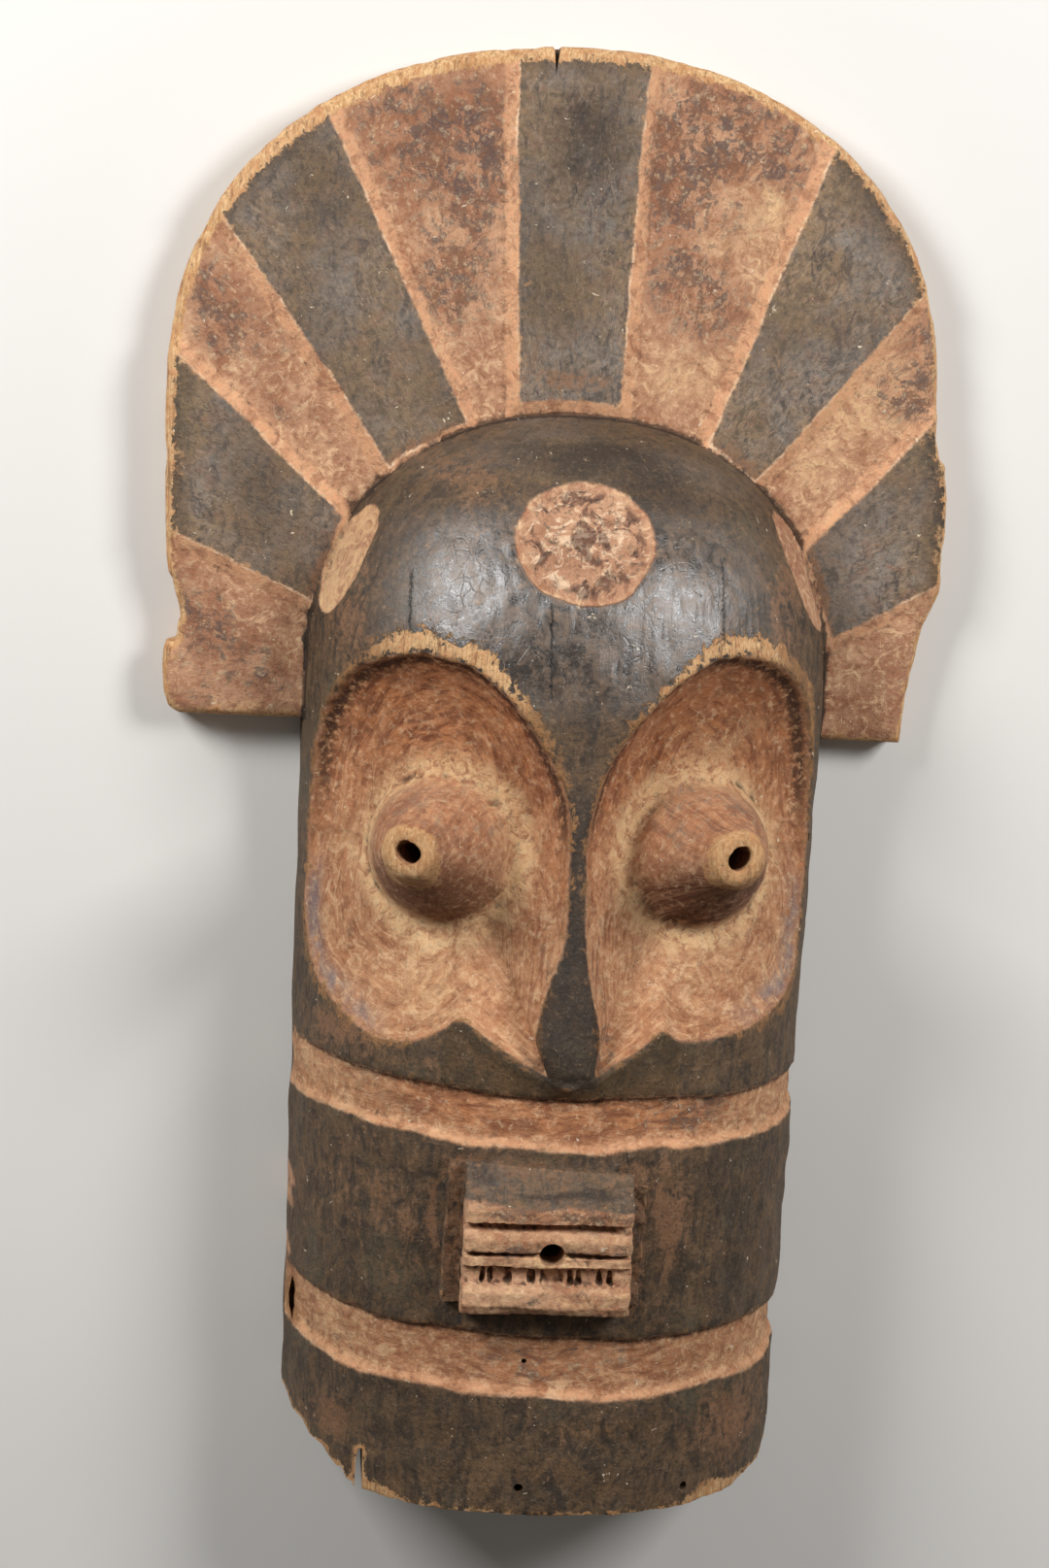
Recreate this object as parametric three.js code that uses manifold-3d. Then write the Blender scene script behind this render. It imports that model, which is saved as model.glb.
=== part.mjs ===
// Carved face mask with a raised crest, one block of wood, in millimetres.
// It lies on its back: +X is the viewer's right, +Y runs up to the crest, +Z comes out of the face.
// While it is built, y = 0 is the crest's bottom edge and z = 0 the flat back that the mask lies on.

import * as THREE from "three";
import { ConvexGeometry } from "three/addons/geometries/ConvexGeometry.js";
import { mergeVertices } from "three/addons/utils/BufferGeometryUtils.js";
import Module from "manifold-3d";

const wasm = await Module();
wasm.setup();

// Face tube: the arch-shaped blank, closed by a dome at the crest.
const TUBE_X = 2.5;
const TUBE_HALF_WIDTH = 120.2;
const TUBE_HALF_WIDTH_LOW = 116;
const TUBE_DEPTH = 120;
const TUBE_DEPTH_LOW = 117;
const ARCH_POWER = 2.25;
const DOME_CENTRE_Y = 27;
const DOME_REACH = 118;
const RIM_Y = -318;
const RIM_SKEW = 24;
const CAVITY_HALF_WIDTH = 95;
const CAVITY_DEPTH = 86;
const CAVITY_POWER = 2.2;

// Crest: the flat plate that stands round the dome.
const CREST_THICK = 26;
const CREST_TOP = 307;
const CREST_EDGE = 3;
const CREST_LEFT = { reach: 184.5, centreY: 150, power: 2.23 };
const CREST_RIGHT = { reach: 166, centreY: 160, power: 2.1 };
const CREST_LEFT_FOOT = [
  [-184, 125], [-182, 82], [-181, 65], [-177, 56], [-174.5, 43], [-176, 33], [-181.5, 29.7], [-181.5, 12], [-175, 0],
];
const CREST_RIGHT_FOOT = [
  [160, 0], [160.6, 11], [162.6, 28], [165.4, 46], [170.2, 61], [173.7, 70], [174, 100], [171.6, 129], [167.5, 135],
];

// Ochre sectors: shallow trays between raised panels, with sloping sides.
const TRAY_DEPTH = 3;
const TRAY_BEVEL = 5;
const TRAY_INNER = 80;
const TRAYS = [
  { from: [[-110, 53], [-175, 81]], to: [[-118, -20], [-200, -20]] },
  { from: [[-82, 118], [-158, 220]], to: [[-105, 96], [-177, 159]] },
  { from: [[-26, 150], [-33, 294]], to: [[-53, 145], [-114, 266]] },
  { from: [[63, 139], [110, 266]], to: [[19, 150], [25, 297]] },
  { from: [[107, 85], [167, 151]], to: [[86, 121], [157, 208]] },
  { from: [[124, -20], [200, -20]], to: [[120, 46], [173, 74]] },
];

// Ochre bands round the lower face.
const BAND_DEPTH = 3;
const BAND_BEVEL = 5;
const BAND_LEFT_RISE = 4.5;
const BANDS = [
  { top: -148.5, bottom: -173 },
  { top: -258.5, bottom: -286.5 },
];

// Eye hollows, each a bowl with a steep brow and a shallow foot.
const FACE_X = 2;
const HOLLOW_CENTRE = { x: 56, y: -46 };
const HOLLOW_DEPTH = 20;
const HOLLOW_RIM = [
  [4, -31], [7, -15], [15, 3], [30, 21], [46, 35], [67, 43], [88, 38], [103, 25], [110, 8], [112.5, -20],
  [113, -60], [112, -86], [108, -106], [98, -117], [84, -125], [66, -127], [50, -121], [42, -118], [12, -137],
  [8, -110], [4, -60],
];

// Eye cones with their bored holes.
const CONE_BASE = { x: 56, y: -46, z: 86 };
const CONE_TIP = { x: 70.5, y: -38, z: 144 };
const CONE_PROFILE = [
  [0, -14], [36, -14], [33.5, 0], [30.5, 9], [26, 19], [20.5, 31], [15.5, 43], [13, 50], [12.4, 57], [11, 60.3],
  [0, 60.3],
];
const EYE_HOLE_R = 4.4;

// Nose: a narrow ridge that widens to a rounded end.
const NOSE_SECTIONS = [
  [8, 4, 117], [-37, 3.2, 123.5], [-75, 6, 126], [-105, 10, 129.5], [-122, 12, 131], [-134, 9, 129.5], [-142, 3, 124],
];
const WING_PEAK = { x: 41, y: -120.5 };

// Mouth: a flat box standing off the face, with lips and teeth cut across it.
const MOUTH_LEFT = -43;
const MOUTH_RIGHT = 33;
const MOUTH_PROFILE = [
  [-177, 100], [-177, 127], [-180, 128.5], [-193, 134], [-196, 137.5], [-202, 137.5], [-204, 133], [-207, 133],
  [-208.5, 137], [-216, 137], [-218.5, 133], [-220, 134.5], [-222, 135], [-223.5, 131.5], [-230.5, 131.5],
  [-232, 136.5], [-241, 137], [-245, 132], [-246, 100],
];
const TOOTH_COUNT = 9;
const MOUTH_HOLE = { x: -1, y: -214, r: 5.2 };

// Round ochre spots on the dome.
const SPOT_R = 30.5;
const SPOT_DEPTH = 1.4;
const SPOTS = [
  { x: 0, y: 92, z: 100 },
  { x: -101, y: 75, z: 40 },
  { x: 101, y: 78, z: 40 },
];

// Small holes through the lower rim and the cheek, and the losses at the rim.
const RIM_HOLES = [
  { x: -8, y: -329, r: 2 },
  { x: 65, y: -332, r: 1.9 },
  { x: -9, y: -271, r: 1.2 },
];
const SLOT = { x: -79, y: -333, width: 3.4, height: 18 };
const SIDE_SPLIT = { x: -110.8, y: -271, width: 2.4, height: 19, floor: 14, top: 64 };

const ARCH_STEPS = 40;

function toSolid(geometry) {
  const bare = geometry.index ? geometry.toNonIndexed() : geometry.clone();
  bare.deleteAttribute("normal");
  bare.deleteAttribute("uv");
  const merged = mergeVertices(bare, 1e-3);
  return new wasm.Manifold(new wasm.Mesh({
    numProp: 3,
    vertProperties: new Float32Array(merged.attributes.position.array),
    triVerts: new Uint32Array(merged.index.array),
  }));
}

function toGeometry(solid) {
  const mesh = solid.getMesh();
  const geometry = new THREE.BufferGeometry();
  geometry.setAttribute("position", new THREE.BufferAttribute(new Float32Array(mesh.vertProperties), 3));
  geometry.setIndex(new THREE.BufferAttribute(new Uint32Array(mesh.triVerts), 1));
  return geometry;
}

// A closed body through rings that all hold the same number of points.
function loft(rings) {
  const count = rings[0].length;
  const points = rings.flat();
  const faces = [];
  for (let i = 0; i + 1 < rings.length; i += 1) {
    for (let k = 0; k < count; k += 1) {
      const next = (k + 1) % count;
      const a = i * count + k;
      const b = i * count + next;
      const c = (i + 1) * count + next;
      const d = (i + 1) * count + k;
      faces.push(a, b, c, a, c, d);
    }
  }
  for (const [ring, turned] of [[0, true], [rings.length - 1, false]]) {
    const middle = points.length;
    const centre = new THREE.Vector3();
    rings[ring].forEach((p) => centre.add(p));
    points.push(centre.divideScalar(count));
    for (let k = 0; k < count; k += 1) {
      const a = ring * count + k;
      const b = ring * count + ((k + 1) % count);
      if (turned) {
        faces.push(middle, b, a);
      } else {
        faces.push(middle, a, b);
      }
    }
  }
  const geometry = new THREE.BufferGeometry();
  geometry.setAttribute("position", new THREE.Float32BufferAttribute(points.flatMap((p) => [p.x, p.y, p.z]), 3));
  geometry.setIndex(faces);
  const solid = toSolid(geometry);
  if (solid.volume() > 0) {
    return solid;
  }
  geometry.setIndex(faces.flatMap((v, i) => (i % 3 === 0 ? [v, faces[i + 2], faces[i + 1]] : [])));
  return toSolid(geometry);
}

// One arch across the tube, with a flat foot that reaches down to z = foot. Its left end can sit higher.
function archRing(y, halfWidth, depth, power, skew, foot, leftRise = 0) {
  const ring = [];
  for (let k = 0; k <= ARCH_STEPS; k += 1) {
    const turn = Math.PI * k / ARCH_STEPS;
    const x = TUBE_X + halfWidth * Math.sign(Math.cos(turn)) * Math.abs(Math.cos(turn)) ** (2 / power);
    const z = depth * Math.sin(turn) ** (2 / power);
    const rise = leftRise * THREE.MathUtils.clamp((-20 - x) / 90, 0, 1);
    ring.push(new THREE.Vector3(x, y + rise - skew * (1 - (1 - z / depth) ** 2), z));
  }
  ring.push(new THREE.Vector3(TUBE_X - halfWidth, y + leftRise, foot));
  ring.push(new THREE.Vector3(TUBE_X + halfWidth, y, foot));
  return ring;
}

function mix(a, b, t) {
  return a + (b - a) * t;
}

// Half width and depth of the blank at height y, the dome's rounding not counted.
function tubeSize(y) {
  const t = THREE.MathUtils.clamp(-y / 320, 0, 1);
  const swell = 5 * Math.sin(Math.PI * t);
  return {
    width: mix(TUBE_HALF_WIDTH, TUBE_HALF_WIDTH_LOW, t),
    depth: mix(TUBE_DEPTH, TUBE_DEPTH_LOW, t) + swell,
  };
}

function domeScale(y, reach) {
  const up = Math.min(Math.max((y - DOME_CENTRE_Y) / reach, 0), 1);
  return (1 - up ** 2.2) ** (1 / 2.2);
}

function blankRing(y, inset, skew, leftRise = 0) {
  const size = tubeSize(y);
  const s = y > DOME_CENTRE_Y ? domeScale(y, DOME_REACH) : 1;
  return archRing(y, size.width * s - inset, size.depth * s - inset, ARCH_POWER, skew, 0, leftRise);
}

function makeBlank() {
  const rings = [blankRing(RIM_Y, 0, RIM_SKEW), blankRing(RIM_Y + 14, 0, RIM_SKEW * 0.5)];
  for (const band of [...BANDS].reverse()) {
    rings.push(blankRing(band.bottom, 0, 0, BAND_LEFT_RISE));
    rings.push(blankRing(band.bottom + BAND_BEVEL, BAND_DEPTH, 0, BAND_LEFT_RISE));
    rings.push(blankRing(band.top - 0.4, BAND_DEPTH, 0, BAND_LEFT_RISE));
    rings.push(blankRing(band.top, 0, 0, BAND_LEFT_RISE));
    rings.push(blankRing(band.top + 40, 0, 0));
  }
  for (const y of [-75, -40, 0, DOME_CENTRE_Y]) {
    rings.push(blankRing(y, 0, 0));
  }
  for (let k = 1; k <= 12; k += 1) {
    rings.push(blankRing(DOME_CENTRE_Y + DOME_REACH * Math.sin(Math.PI / 2 * k / 12.4), 0, 0));
  }
  return loft(rings);
}

function makeCavity() {
  const rings = [];
  for (const y of [RIM_Y - 60, -200, -60, DOME_CENTRE_Y]) {
    rings.push(archRing(y, CAVITY_HALF_WIDTH, CAVITY_DEPTH, CAVITY_POWER, 0, -20));
  }
  for (let k = 1; k <= 7; k += 1) {
    const turn = Math.PI / 2 * k / 7.4;
    const s = Math.cos(turn) ** 0.9;
    const y = DOME_CENTRE_Y + CAVITY_HALF_WIDTH * Math.sin(turn);
    rings.push(archRing(y, CAVITY_HALF_WIDTH * s, CAVITY_DEPTH * s, CAVITY_POWER, 0, -20));
  }
  return loft(rings);
}

// The crest's edge line: two quarter arches that meet at the top, and the worn straight feet.
function crestOutline() {
  const points = [...CREST_RIGHT_FOOT];
  for (const [side, turnSign] of [[CREST_RIGHT, 1], [CREST_LEFT, -1]]) {
    const steps = 14;
    for (let k = 0; k <= steps; k += 1) {
      const turn = Math.PI / 2 * (turnSign > 0 ? k : steps - k) / steps;
      const x = turnSign * side.reach * Math.cos(turn) ** (2 / side.power);
      const y = side.centreY + (CREST_TOP - side.centreY) * Math.sin(turn) ** (2 / side.power);
      if (turnSign > 0 || k > 0) {
        points.push([x, y]);
      }
    }
  }
  return [...points, ...CREST_LEFT_FOOT].map(([x, y]) => new THREE.Vector2(x, y));
}

function makeCrest() {
  const shape = new THREE.Shape(crestOutline());
  const crest = new THREE.ExtrudeGeometry(shape, {
    depth: CREST_THICK - 2 * CREST_EDGE,
    bevelEnabled: true,
    bevelThickness: CREST_EDGE,
    bevelSize: CREST_EDGE,
    bevelOffset: -CREST_EDGE,
    bevelSegments: 1,
  });
  crest.translate(0, 0, CREST_EDGE);
  return toSolid(crest);
}

// A tray between two rays: its floor lies inside the rays and its top just outside them.
function makeTray({ from, to }) {
  const corner = (ray, reach) => {
    const a = new THREE.Vector2(...ray[0]);
    const along = new THREE.Vector2(...ray[1]).sub(a).normalize();
    return a.addScaledVector(along, reach);
  };
  const quad = [corner(from, -60), corner(from, TRAY_INNER + 180), corner(to, TRAY_INNER + 180), corner(to, -60)];
  const spread = (side) => {
    const middle = quad.reduce((sum, p) => sum.clone().add(p), new THREE.Vector2()).divideScalar(4);
    return quad.map((p, i) => {
      const partner = quad[3 - i];
      const out = p.clone().sub(partner).normalize();
      const outward = out.dot(p.clone().sub(middle)) > 0 ? out : out.negate();
      return p.clone().addScaledVector(outward, side);
    });
  };
  const floor = CREST_THICK - TRAY_DEPTH;
  const low = spread(-TRAY_BEVEL).map((p) => new THREE.Vector3(p.x, p.y, floor));
  const high = spread(TRAY_BEVEL).map((p) => new THREE.Vector3(p.x, p.y, floor + 2 * TRAY_DEPTH));
  return toSolid(new ConvexGeometry([...low, ...high]));
}

// Distance from the tube's axis to the blank's surface, at an angle from straight out.
function blankRadius(angle, y) {
  const size = tubeSize(y);
  const s = y > DOME_CENTRE_Y ? domeScale(y, DOME_REACH) : 1;
  const across = Math.abs(Math.sin(angle)) / (size.width * s);
  const outward = Math.abs(Math.cos(angle)) / (size.depth * s);
  return (across ** ARCH_POWER + outward ** ARCH_POWER) ** (-1 / ARCH_POWER);
}

function blankAngle(x, y) {
  const size = tubeSize(y);
  const s = y > DOME_CENTRE_Y ? domeScale(y, DOME_REACH) : 1;
  const share = Math.min(Math.abs(x - TUBE_X) / (size.width * s), 0.9995);
  const z = size.depth * s * (1 - share ** ARCH_POWER) ** (1 / ARCH_POWER);
  return Math.atan2(x - TUBE_X, z);
}

// The bowl of one eye hollow: it follows the blank and sinks by HOLLOW_DEPTH, steeply under the brow.
function makeHollow(side) {
  const rimCurve = new THREE.CatmullRomCurve3(
    HOLLOW_RIM.map(([x, y]) => new THREE.Vector3(FACE_X + side * x, y, 0)), true, "centripetal");
  const rim = rimCurve.getPoints(52).slice(0, -1);
  const centreAngle = blankAngle(FACE_X + side * HOLLOW_CENTRE.x, HOLLOW_CENTRE.y);
  const shares = [1.03, 1, 0.965, 0.92, 0.84, 0.7, 0.5, 0.25];
  const at = (p, share, lift) => {
    const angle = mix(centreAngle, blankAngle(p.x, p.y), share);
    const y = mix(HOLLOW_CENTRE.y, p.y, share);
    const brow = THREE.MathUtils.clamp((p.y + 95) / 130, 0, 1);
    const inner = THREE.MathUtils.clamp(1 - Math.abs(p.x - FACE_X) / 60, 0, 1);
    const power = mix(2, 6, Math.max(brow, inner * 0.6));
    const depth = HOLLOW_DEPTH * (1 - share ** power);
    const r = blankRadius(angle, y) - depth + lift;
    return new THREE.Vector3(TUBE_X + r * Math.sin(angle), y, r * Math.cos(angle));
  };
  const rings = [rim.map((p) => at(p, 1.03, 60))];
  for (const share of shares) {
    rings.push(rim.map((p) => at(p, share, share > 1 ? 1.5 : -0.5)));
  }
  return loft(rings);
}

function makeCone(side) {
  const base = new THREE.Vector3(side * CONE_BASE.x, CONE_BASE.y, CONE_BASE.z);
  const axis = new THREE.Vector3(side * CONE_TIP.x, CONE_TIP.y, CONE_TIP.z).sub(base).normalize();
  const turn = new THREE.Quaternion().setFromUnitVectors(new THREE.Vector3(0, 1, 0), axis);
  const place = (geometry) => toSolid(geometry.applyQuaternion(turn).translate(base.x, base.y, base.z));
  const profile = CONE_PROFILE.map(([r, h]) => new THREE.Vector2(r, h));
  const body = place(new THREE.LatheGeometry(profile, 28));
  const bore = place(new THREE.CylinderGeometry(EYE_HOLE_R, EYE_HOLE_R, 200, 14));
  return { body, bore };
}

// The nose ridge, and the two low wings that end in a point at each side.
function makeNose() {
  const rings = NOSE_SECTIONS.map(([y, half, top]) => [
    new THREE.Vector3(FACE_X + half * 2.1, y, 84),
    new THREE.Vector3(FACE_X + half * 1.5, y, top - half * 1.1 - 3),
    new THREE.Vector3(FACE_X + half * 0.75, y, top - half * 0.22),
    new THREE.Vector3(FACE_X, y, top),
    new THREE.Vector3(FACE_X - half * 0.75, y, top - half * 0.22),
    new THREE.Vector3(FACE_X - half * 1.5, y, top - half * 1.1 - 3),
    new THREE.Vector3(FACE_X - half * 2.1, y, 84),
  ]);
  const peakZ = blankRadius(blankAngle(WING_PEAK.x, WING_PEAK.y), WING_PEAK.y)
    * Math.cos(blankAngle(WING_PEAK.x, WING_PEAK.y));
  const wings = new ConvexGeometry([
    new THREE.Vector3(0, -141, 128.5),
    new THREE.Vector3(0, -96, 127),
    new THREE.Vector3(WING_PEAK.x, WING_PEAK.y, peakZ + 1.5),
    new THREE.Vector3(-WING_PEAK.x, WING_PEAK.y, peakZ + 1.5),
    new THREE.Vector3(24, -149, 118),
    new THREE.Vector3(-24, -149, 118),
    new THREE.Vector3(0, -149.6, 122),
    new THREE.Vector3(0, -80, 88),
    new THREE.Vector3(30, -115, 88),
    new THREE.Vector3(-30, -115, 88),
  ]);
  return loft(rings).add(toSolid(wings));
}

function makeMouth() {
  const shape = new THREE.Shape(MOUTH_PROFILE.map(([y, z]) => new THREE.Vector2(y, z)));
  const block = new THREE.ExtrudeGeometry(shape, { depth: MOUTH_RIGHT - MOUTH_LEFT, bevelEnabled: false });
  const toFrame = new THREE.Matrix4().makeBasis(
    new THREE.Vector3(0, 1, 0), new THREE.Vector3(0, 0, 1), new THREE.Vector3(1, 0, 0));
  block.applyMatrix4(toFrame).translate(MOUTH_LEFT, 0, 0);
  let mouth = toSolid(block);
  const pitch = (MOUTH_RIGHT - MOUTH_LEFT - 6) / TOOTH_COUNT;
  for (let k = 0; k < TOOTH_COUNT; k += 1) {
    const tooth = new THREE.BoxGeometry(pitch - 2.4, 6.4, 8);
    tooth.translate(MOUTH_LEFT + 3 + pitch * (k + 0.5), -227, 130);
    mouth = mouth.add(toSolid(tooth));
  }
  return mouth;
}

// A spot is the part of a round bar, set square to the dome, that lies outside the dome shrunk a little.
function makeSpot(spot, shrunk) {
  const place = new THREE.Vector3(spot.x, spot.y, spot.z);
  const away = new THREE.Vector3(spot.x * 1.1, spot.y - DOME_CENTRE_Y, spot.z).normalize();
  const turn = new THREE.Quaternion().setFromUnitVectors(new THREE.Vector3(0, 1, 0), away);
  const bar = new THREE.CylinderGeometry(SPOT_R, SPOT_R, 60, 36);
  bar.applyQuaternion(turn).translate(place.x, place.y, place.z);
  return toSolid(bar).subtract(shrunk);
}

function makeShrunkDome() {
  const rings = [];
  for (let k = 0; k <= 12; k += 1) {
    const y = DOME_CENTRE_Y - 40 + (k > 0 ? 40 + DOME_REACH * Math.sin(Math.PI / 2 * (k - 1) / 11.4) : 0);
    const size = tubeSize(y);
    const s = domeScale(y, DOME_REACH);
    const ring = archRing(y, size.width * s - SPOT_DEPTH, size.depth * s - SPOT_DEPTH, ARCH_POWER, 0, 0);
    rings.push(ring);
  }
  return loft(rings);
}

function makeRimCuts() {
  const cuts = RIM_HOLES.map(({ x, y, r }) => {
    const drill = new THREE.CylinderGeometry(r, r, 90, 10);
    drill.rotateX(Math.PI / 2).translate(x, y, 115);
    return toSolid(drill);
  });
  const slot = new THREE.BoxGeometry(SLOT.width, SLOT.height, 90);
  slot.translate(SLOT.x, SLOT.y, 60);
  cuts.push(toSolid(slot));
  const split = new THREE.BoxGeometry(SIDE_SPLIT.width, SIDE_SPLIT.height, SIDE_SPLIT.top - SIDE_SPLIT.floor);
  split.translate(SIDE_SPLIT.x, SIDE_SPLIT.y, (SIDE_SPLIT.top + SIDE_SPLIT.floor) / 2);
  cuts.push(toSolid(split));
  // The broken lower left corner.
  const corner = new ConvexGeometry([
    new THREE.Vector3(-130, -312, -10), new THREE.Vector3(-130, -312, 140),
    new THREE.Vector3(-106, -322, -10), new THREE.Vector3(-106, -322, 140),
    new THREE.Vector3(-86, -350, -10), new THREE.Vector3(-86, -350, 140),
    new THREE.Vector3(-130, -350, -10), new THREE.Vector3(-130, -350, 140),
  ]);
  cuts.push(toSolid(corner));
  return cuts;
}

let mask = makeBlank().add(makeCrest());
for (const tray of TRAYS) {
  mask = mask.subtract(makeTray(tray).subtract(makeBlank()));
}
for (const side of [-1, 1]) {
  mask = mask.subtract(makeHollow(side));
}
mask = mask.add(makeNose()).add(makeMouth());
const cones = [-1, 1].map(makeCone);
for (const cone of cones) {
  mask = mask.add(cone.body);
}
mask = mask.subtract(makeCavity());
const shrunkDome = makeShrunkDome();
for (const spot of SPOTS) {
  mask = mask.subtract(makeSpot(spot, shrunkDome.add(makeCrest())));
}
for (const cone of cones) {
  mask = mask.subtract(cone.bore);
}
const mouthBore = new THREE.CylinderGeometry(MOUTH_HOLE.r, MOUTH_HOLE.r, 120, 16);
mouthBore.rotateX(Math.PI / 2).translate(MOUTH_HOLE.x, MOUTH_HOLE.y, 120);
mask = mask.subtract(toSolid(mouthBore));
for (const cut of makeRimCuts()) {
  mask = mask.subtract(cut);
}

const maskGeometry = toGeometry(mask);
maskGeometry.computeBoundingBox();
const middle = maskGeometry.boundingBox.getCenter(new THREE.Vector3());

const wood = new THREE.MeshStandardMaterial({ color: 0x5a4436, roughness: 0.7, metalness: 0 });
const maskMesh = new THREE.Mesh(maskGeometry, wood);
maskMesh.name = "mask";
maskMesh.position.set(-middle.x, -middle.y, -maskGeometry.boundingBox.min.z);

const group = new THREE.Group();
group.add(maskMesh);

export default group;
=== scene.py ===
import math

import bmesh
import bpy
import numpy as np
from mathutils import Matrix, Vector


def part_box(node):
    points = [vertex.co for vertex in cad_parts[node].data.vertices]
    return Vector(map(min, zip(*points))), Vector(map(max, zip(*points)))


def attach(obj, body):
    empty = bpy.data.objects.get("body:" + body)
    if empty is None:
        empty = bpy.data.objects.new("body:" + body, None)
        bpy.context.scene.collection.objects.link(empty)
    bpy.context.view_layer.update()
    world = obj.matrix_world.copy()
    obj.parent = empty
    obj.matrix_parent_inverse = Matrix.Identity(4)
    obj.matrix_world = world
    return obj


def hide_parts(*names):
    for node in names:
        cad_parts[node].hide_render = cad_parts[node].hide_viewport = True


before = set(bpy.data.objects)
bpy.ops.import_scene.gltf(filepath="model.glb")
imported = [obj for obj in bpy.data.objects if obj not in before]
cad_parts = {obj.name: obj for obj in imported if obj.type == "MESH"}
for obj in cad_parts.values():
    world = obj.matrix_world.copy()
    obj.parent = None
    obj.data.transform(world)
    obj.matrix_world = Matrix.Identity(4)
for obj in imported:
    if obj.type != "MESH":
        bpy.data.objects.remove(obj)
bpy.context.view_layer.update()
block_low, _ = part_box("mask")

# The block: one length of wood, split and dressed flat behind, then rounded in front into a
# tube that a face goes into. Carver's sizes are in millimetres: x from the nose line, y up
# from the crest's foot, z out from the flat back.
BENCH_FROM_CORNER = np.array([184.5, 342.0, 0.0])
BENCH = np.array(block_low) * 1000 + BENCH_FROM_CORNER
TUBE_X, TUBE_LENGTH, TUBE_SWELL = 2.5, 320.0, 5.0
TUBE_WIDTH, TUBE_WIDTH_LOW = 120.2, 116.0
TUBE_DEPTH, TUBE_DEPTH_LOW = 120.0, 117.0
ARCH_POWER, DOME_POWER = 2.25, 2.2
DOME_FOOT, DOME_REACH = 27.0, 118.0
RIM_Y, RIM_LEAN = -318.0, 24.0


def tube_size(y):
    """The tube's outer width from its middle, and its depth. It swells between dome and rim."""
    down = np.clip(-y / TUBE_LENGTH, 0, 1)
    swell = TUBE_SWELL * np.sin(math.pi * down)
    width = TUBE_WIDTH + (TUBE_WIDTH_LOW - TUBE_WIDTH) * down
    depth = TUBE_DEPTH + (TUBE_DEPTH_LOW - TUBE_DEPTH) * down + swell
    return width, depth


def dome_share(y):
    """How much of the tube's width and depth the dome keeps at this height."""
    up = np.clip((y - DOME_FOOT) / DOME_REACH, 0, 1)
    return np.maximum((1 - up ** DOME_POWER) ** (1 / DOME_POWER), 1e-3)


def arch_radius(angle, width, depth, power):
    across = np.abs(np.sin(angle)) / width
    outward = np.abs(np.cos(angle)) / depth
    return (across ** power + outward ** power) ** (-1 / power)


def blank_radius(angle, y):
    """How far out the rounded block goes at this angle from straight up, before any carving."""
    width, depth = tube_size(y)
    share = dome_share(y)
    return arch_radius(angle, width * share, depth * share, ARCH_POWER)


def blank_angle(x, y):
    """The angle round the arch of a point seen from the front."""
    width, depth = tube_size(y)
    share = dome_share(y)
    part = np.minimum(np.abs(x - TUBE_X) / (width * share), 0.9995)
    return np.arctan2(x - TUBE_X, depth * share * (1 - part ** ARCH_POWER) ** (1 / ARCH_POWER))


# The eye hollows: scooped from the tube, steep under the brow and beside the nose, running out
# shallow at the cheek. Their edge is given by its turning points, for each side, and distances
# round the arch are in mm for one turn of a radian.
HOLLOW_EDGE = {
    "left": [(-3.5, -18), (-13.7, 2.6), (-28.5, 22), (-45.6, 36), (-66, 41), (-84, 37.5), (-98.3, 28.5),
             (-107.5, 12), (-111.6, -6), (-113, -33), (-113.2, -60), (-112.6, -87), (-110, -107),
             (-102.5, -118), (-91.7, -126.5), (-79, -131), (-64.6, -129.5), (-53, -123), (-45.3, -117.5),
             (-33.8, -123.8), (-16.4, -135), (-4.5, -140), (-10.3, -129), (-9.9, -114), (-6.6, -97),
             (-2.4, -84), (-0.8, -70), (-1.3, -54), (-1.4, -37)],
    "right": [(9, -17.5), (16.6, 1.7), (28.5, 19), (42.8, 33.8), (60, 44), (76.6, 45.5), (94, 38.5),
              (105.5, 26), (111.5, 10), (114, -10), (114.5, -40), (114, -68), (112, -92), (108, -106),
              (100, -115), (86, -121), (66, -124), (52, -123.5), (43.4, -119), (34.5, -126), (22, -134.6),
              (13.2, -140), (14.3, -128), (12.4, -113), (9.2, -96), (7.6, -83), (6.6, -70), (6.2, -54),
              (5.6, -37)],
}
HOLLOW_HEART = {"left": (-54.0, -47.0), "right": (59.0, -45.0)}
HOLLOW_DEPTH = 20.0
ARCH_ARC = 118


def ramp(value, low, high):
    t = np.clip((value - low) / (high - low), 0, 1)
    return t * t * (3 - 2 * t)


def wobble(points, size, seed, waves=9):
    """A smooth uneven field between about -1 and 1, with hills about size mm across."""
    dice = np.random.default_rng(seed)
    total = np.zeros(len(points))
    for _ in range(waves):
        way = dice.normal(size=3)
        way *= 2 * math.pi / (size * dice.uniform(0.8, 2.2) * np.linalg.norm(way))
        total += np.sin(points @ way + dice.uniform(0, 2 * math.pi))
    return total / math.sqrt(waves)


def close_curve(corners, steps):
    """A smooth closed line through the corners."""
    p = np.array(corners, float)
    before, after, later = np.roll(p, 1, 0), np.roll(p, -1, 0), np.roll(p, -2, 0)
    t = np.linspace(0, 1, steps, endpoint=False)[None, :, None]
    a, b, c, d = (q[:, None, :] for q in (before, p, after, later))
    line = 0.5 * (2 * b + (c - a) * t + (2 * a - 5 * b + 4 * c - d) * t ** 2
                  + (3 * b - a - 3 * c + d) * t ** 3)
    return line.reshape(-1, 2)


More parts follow.
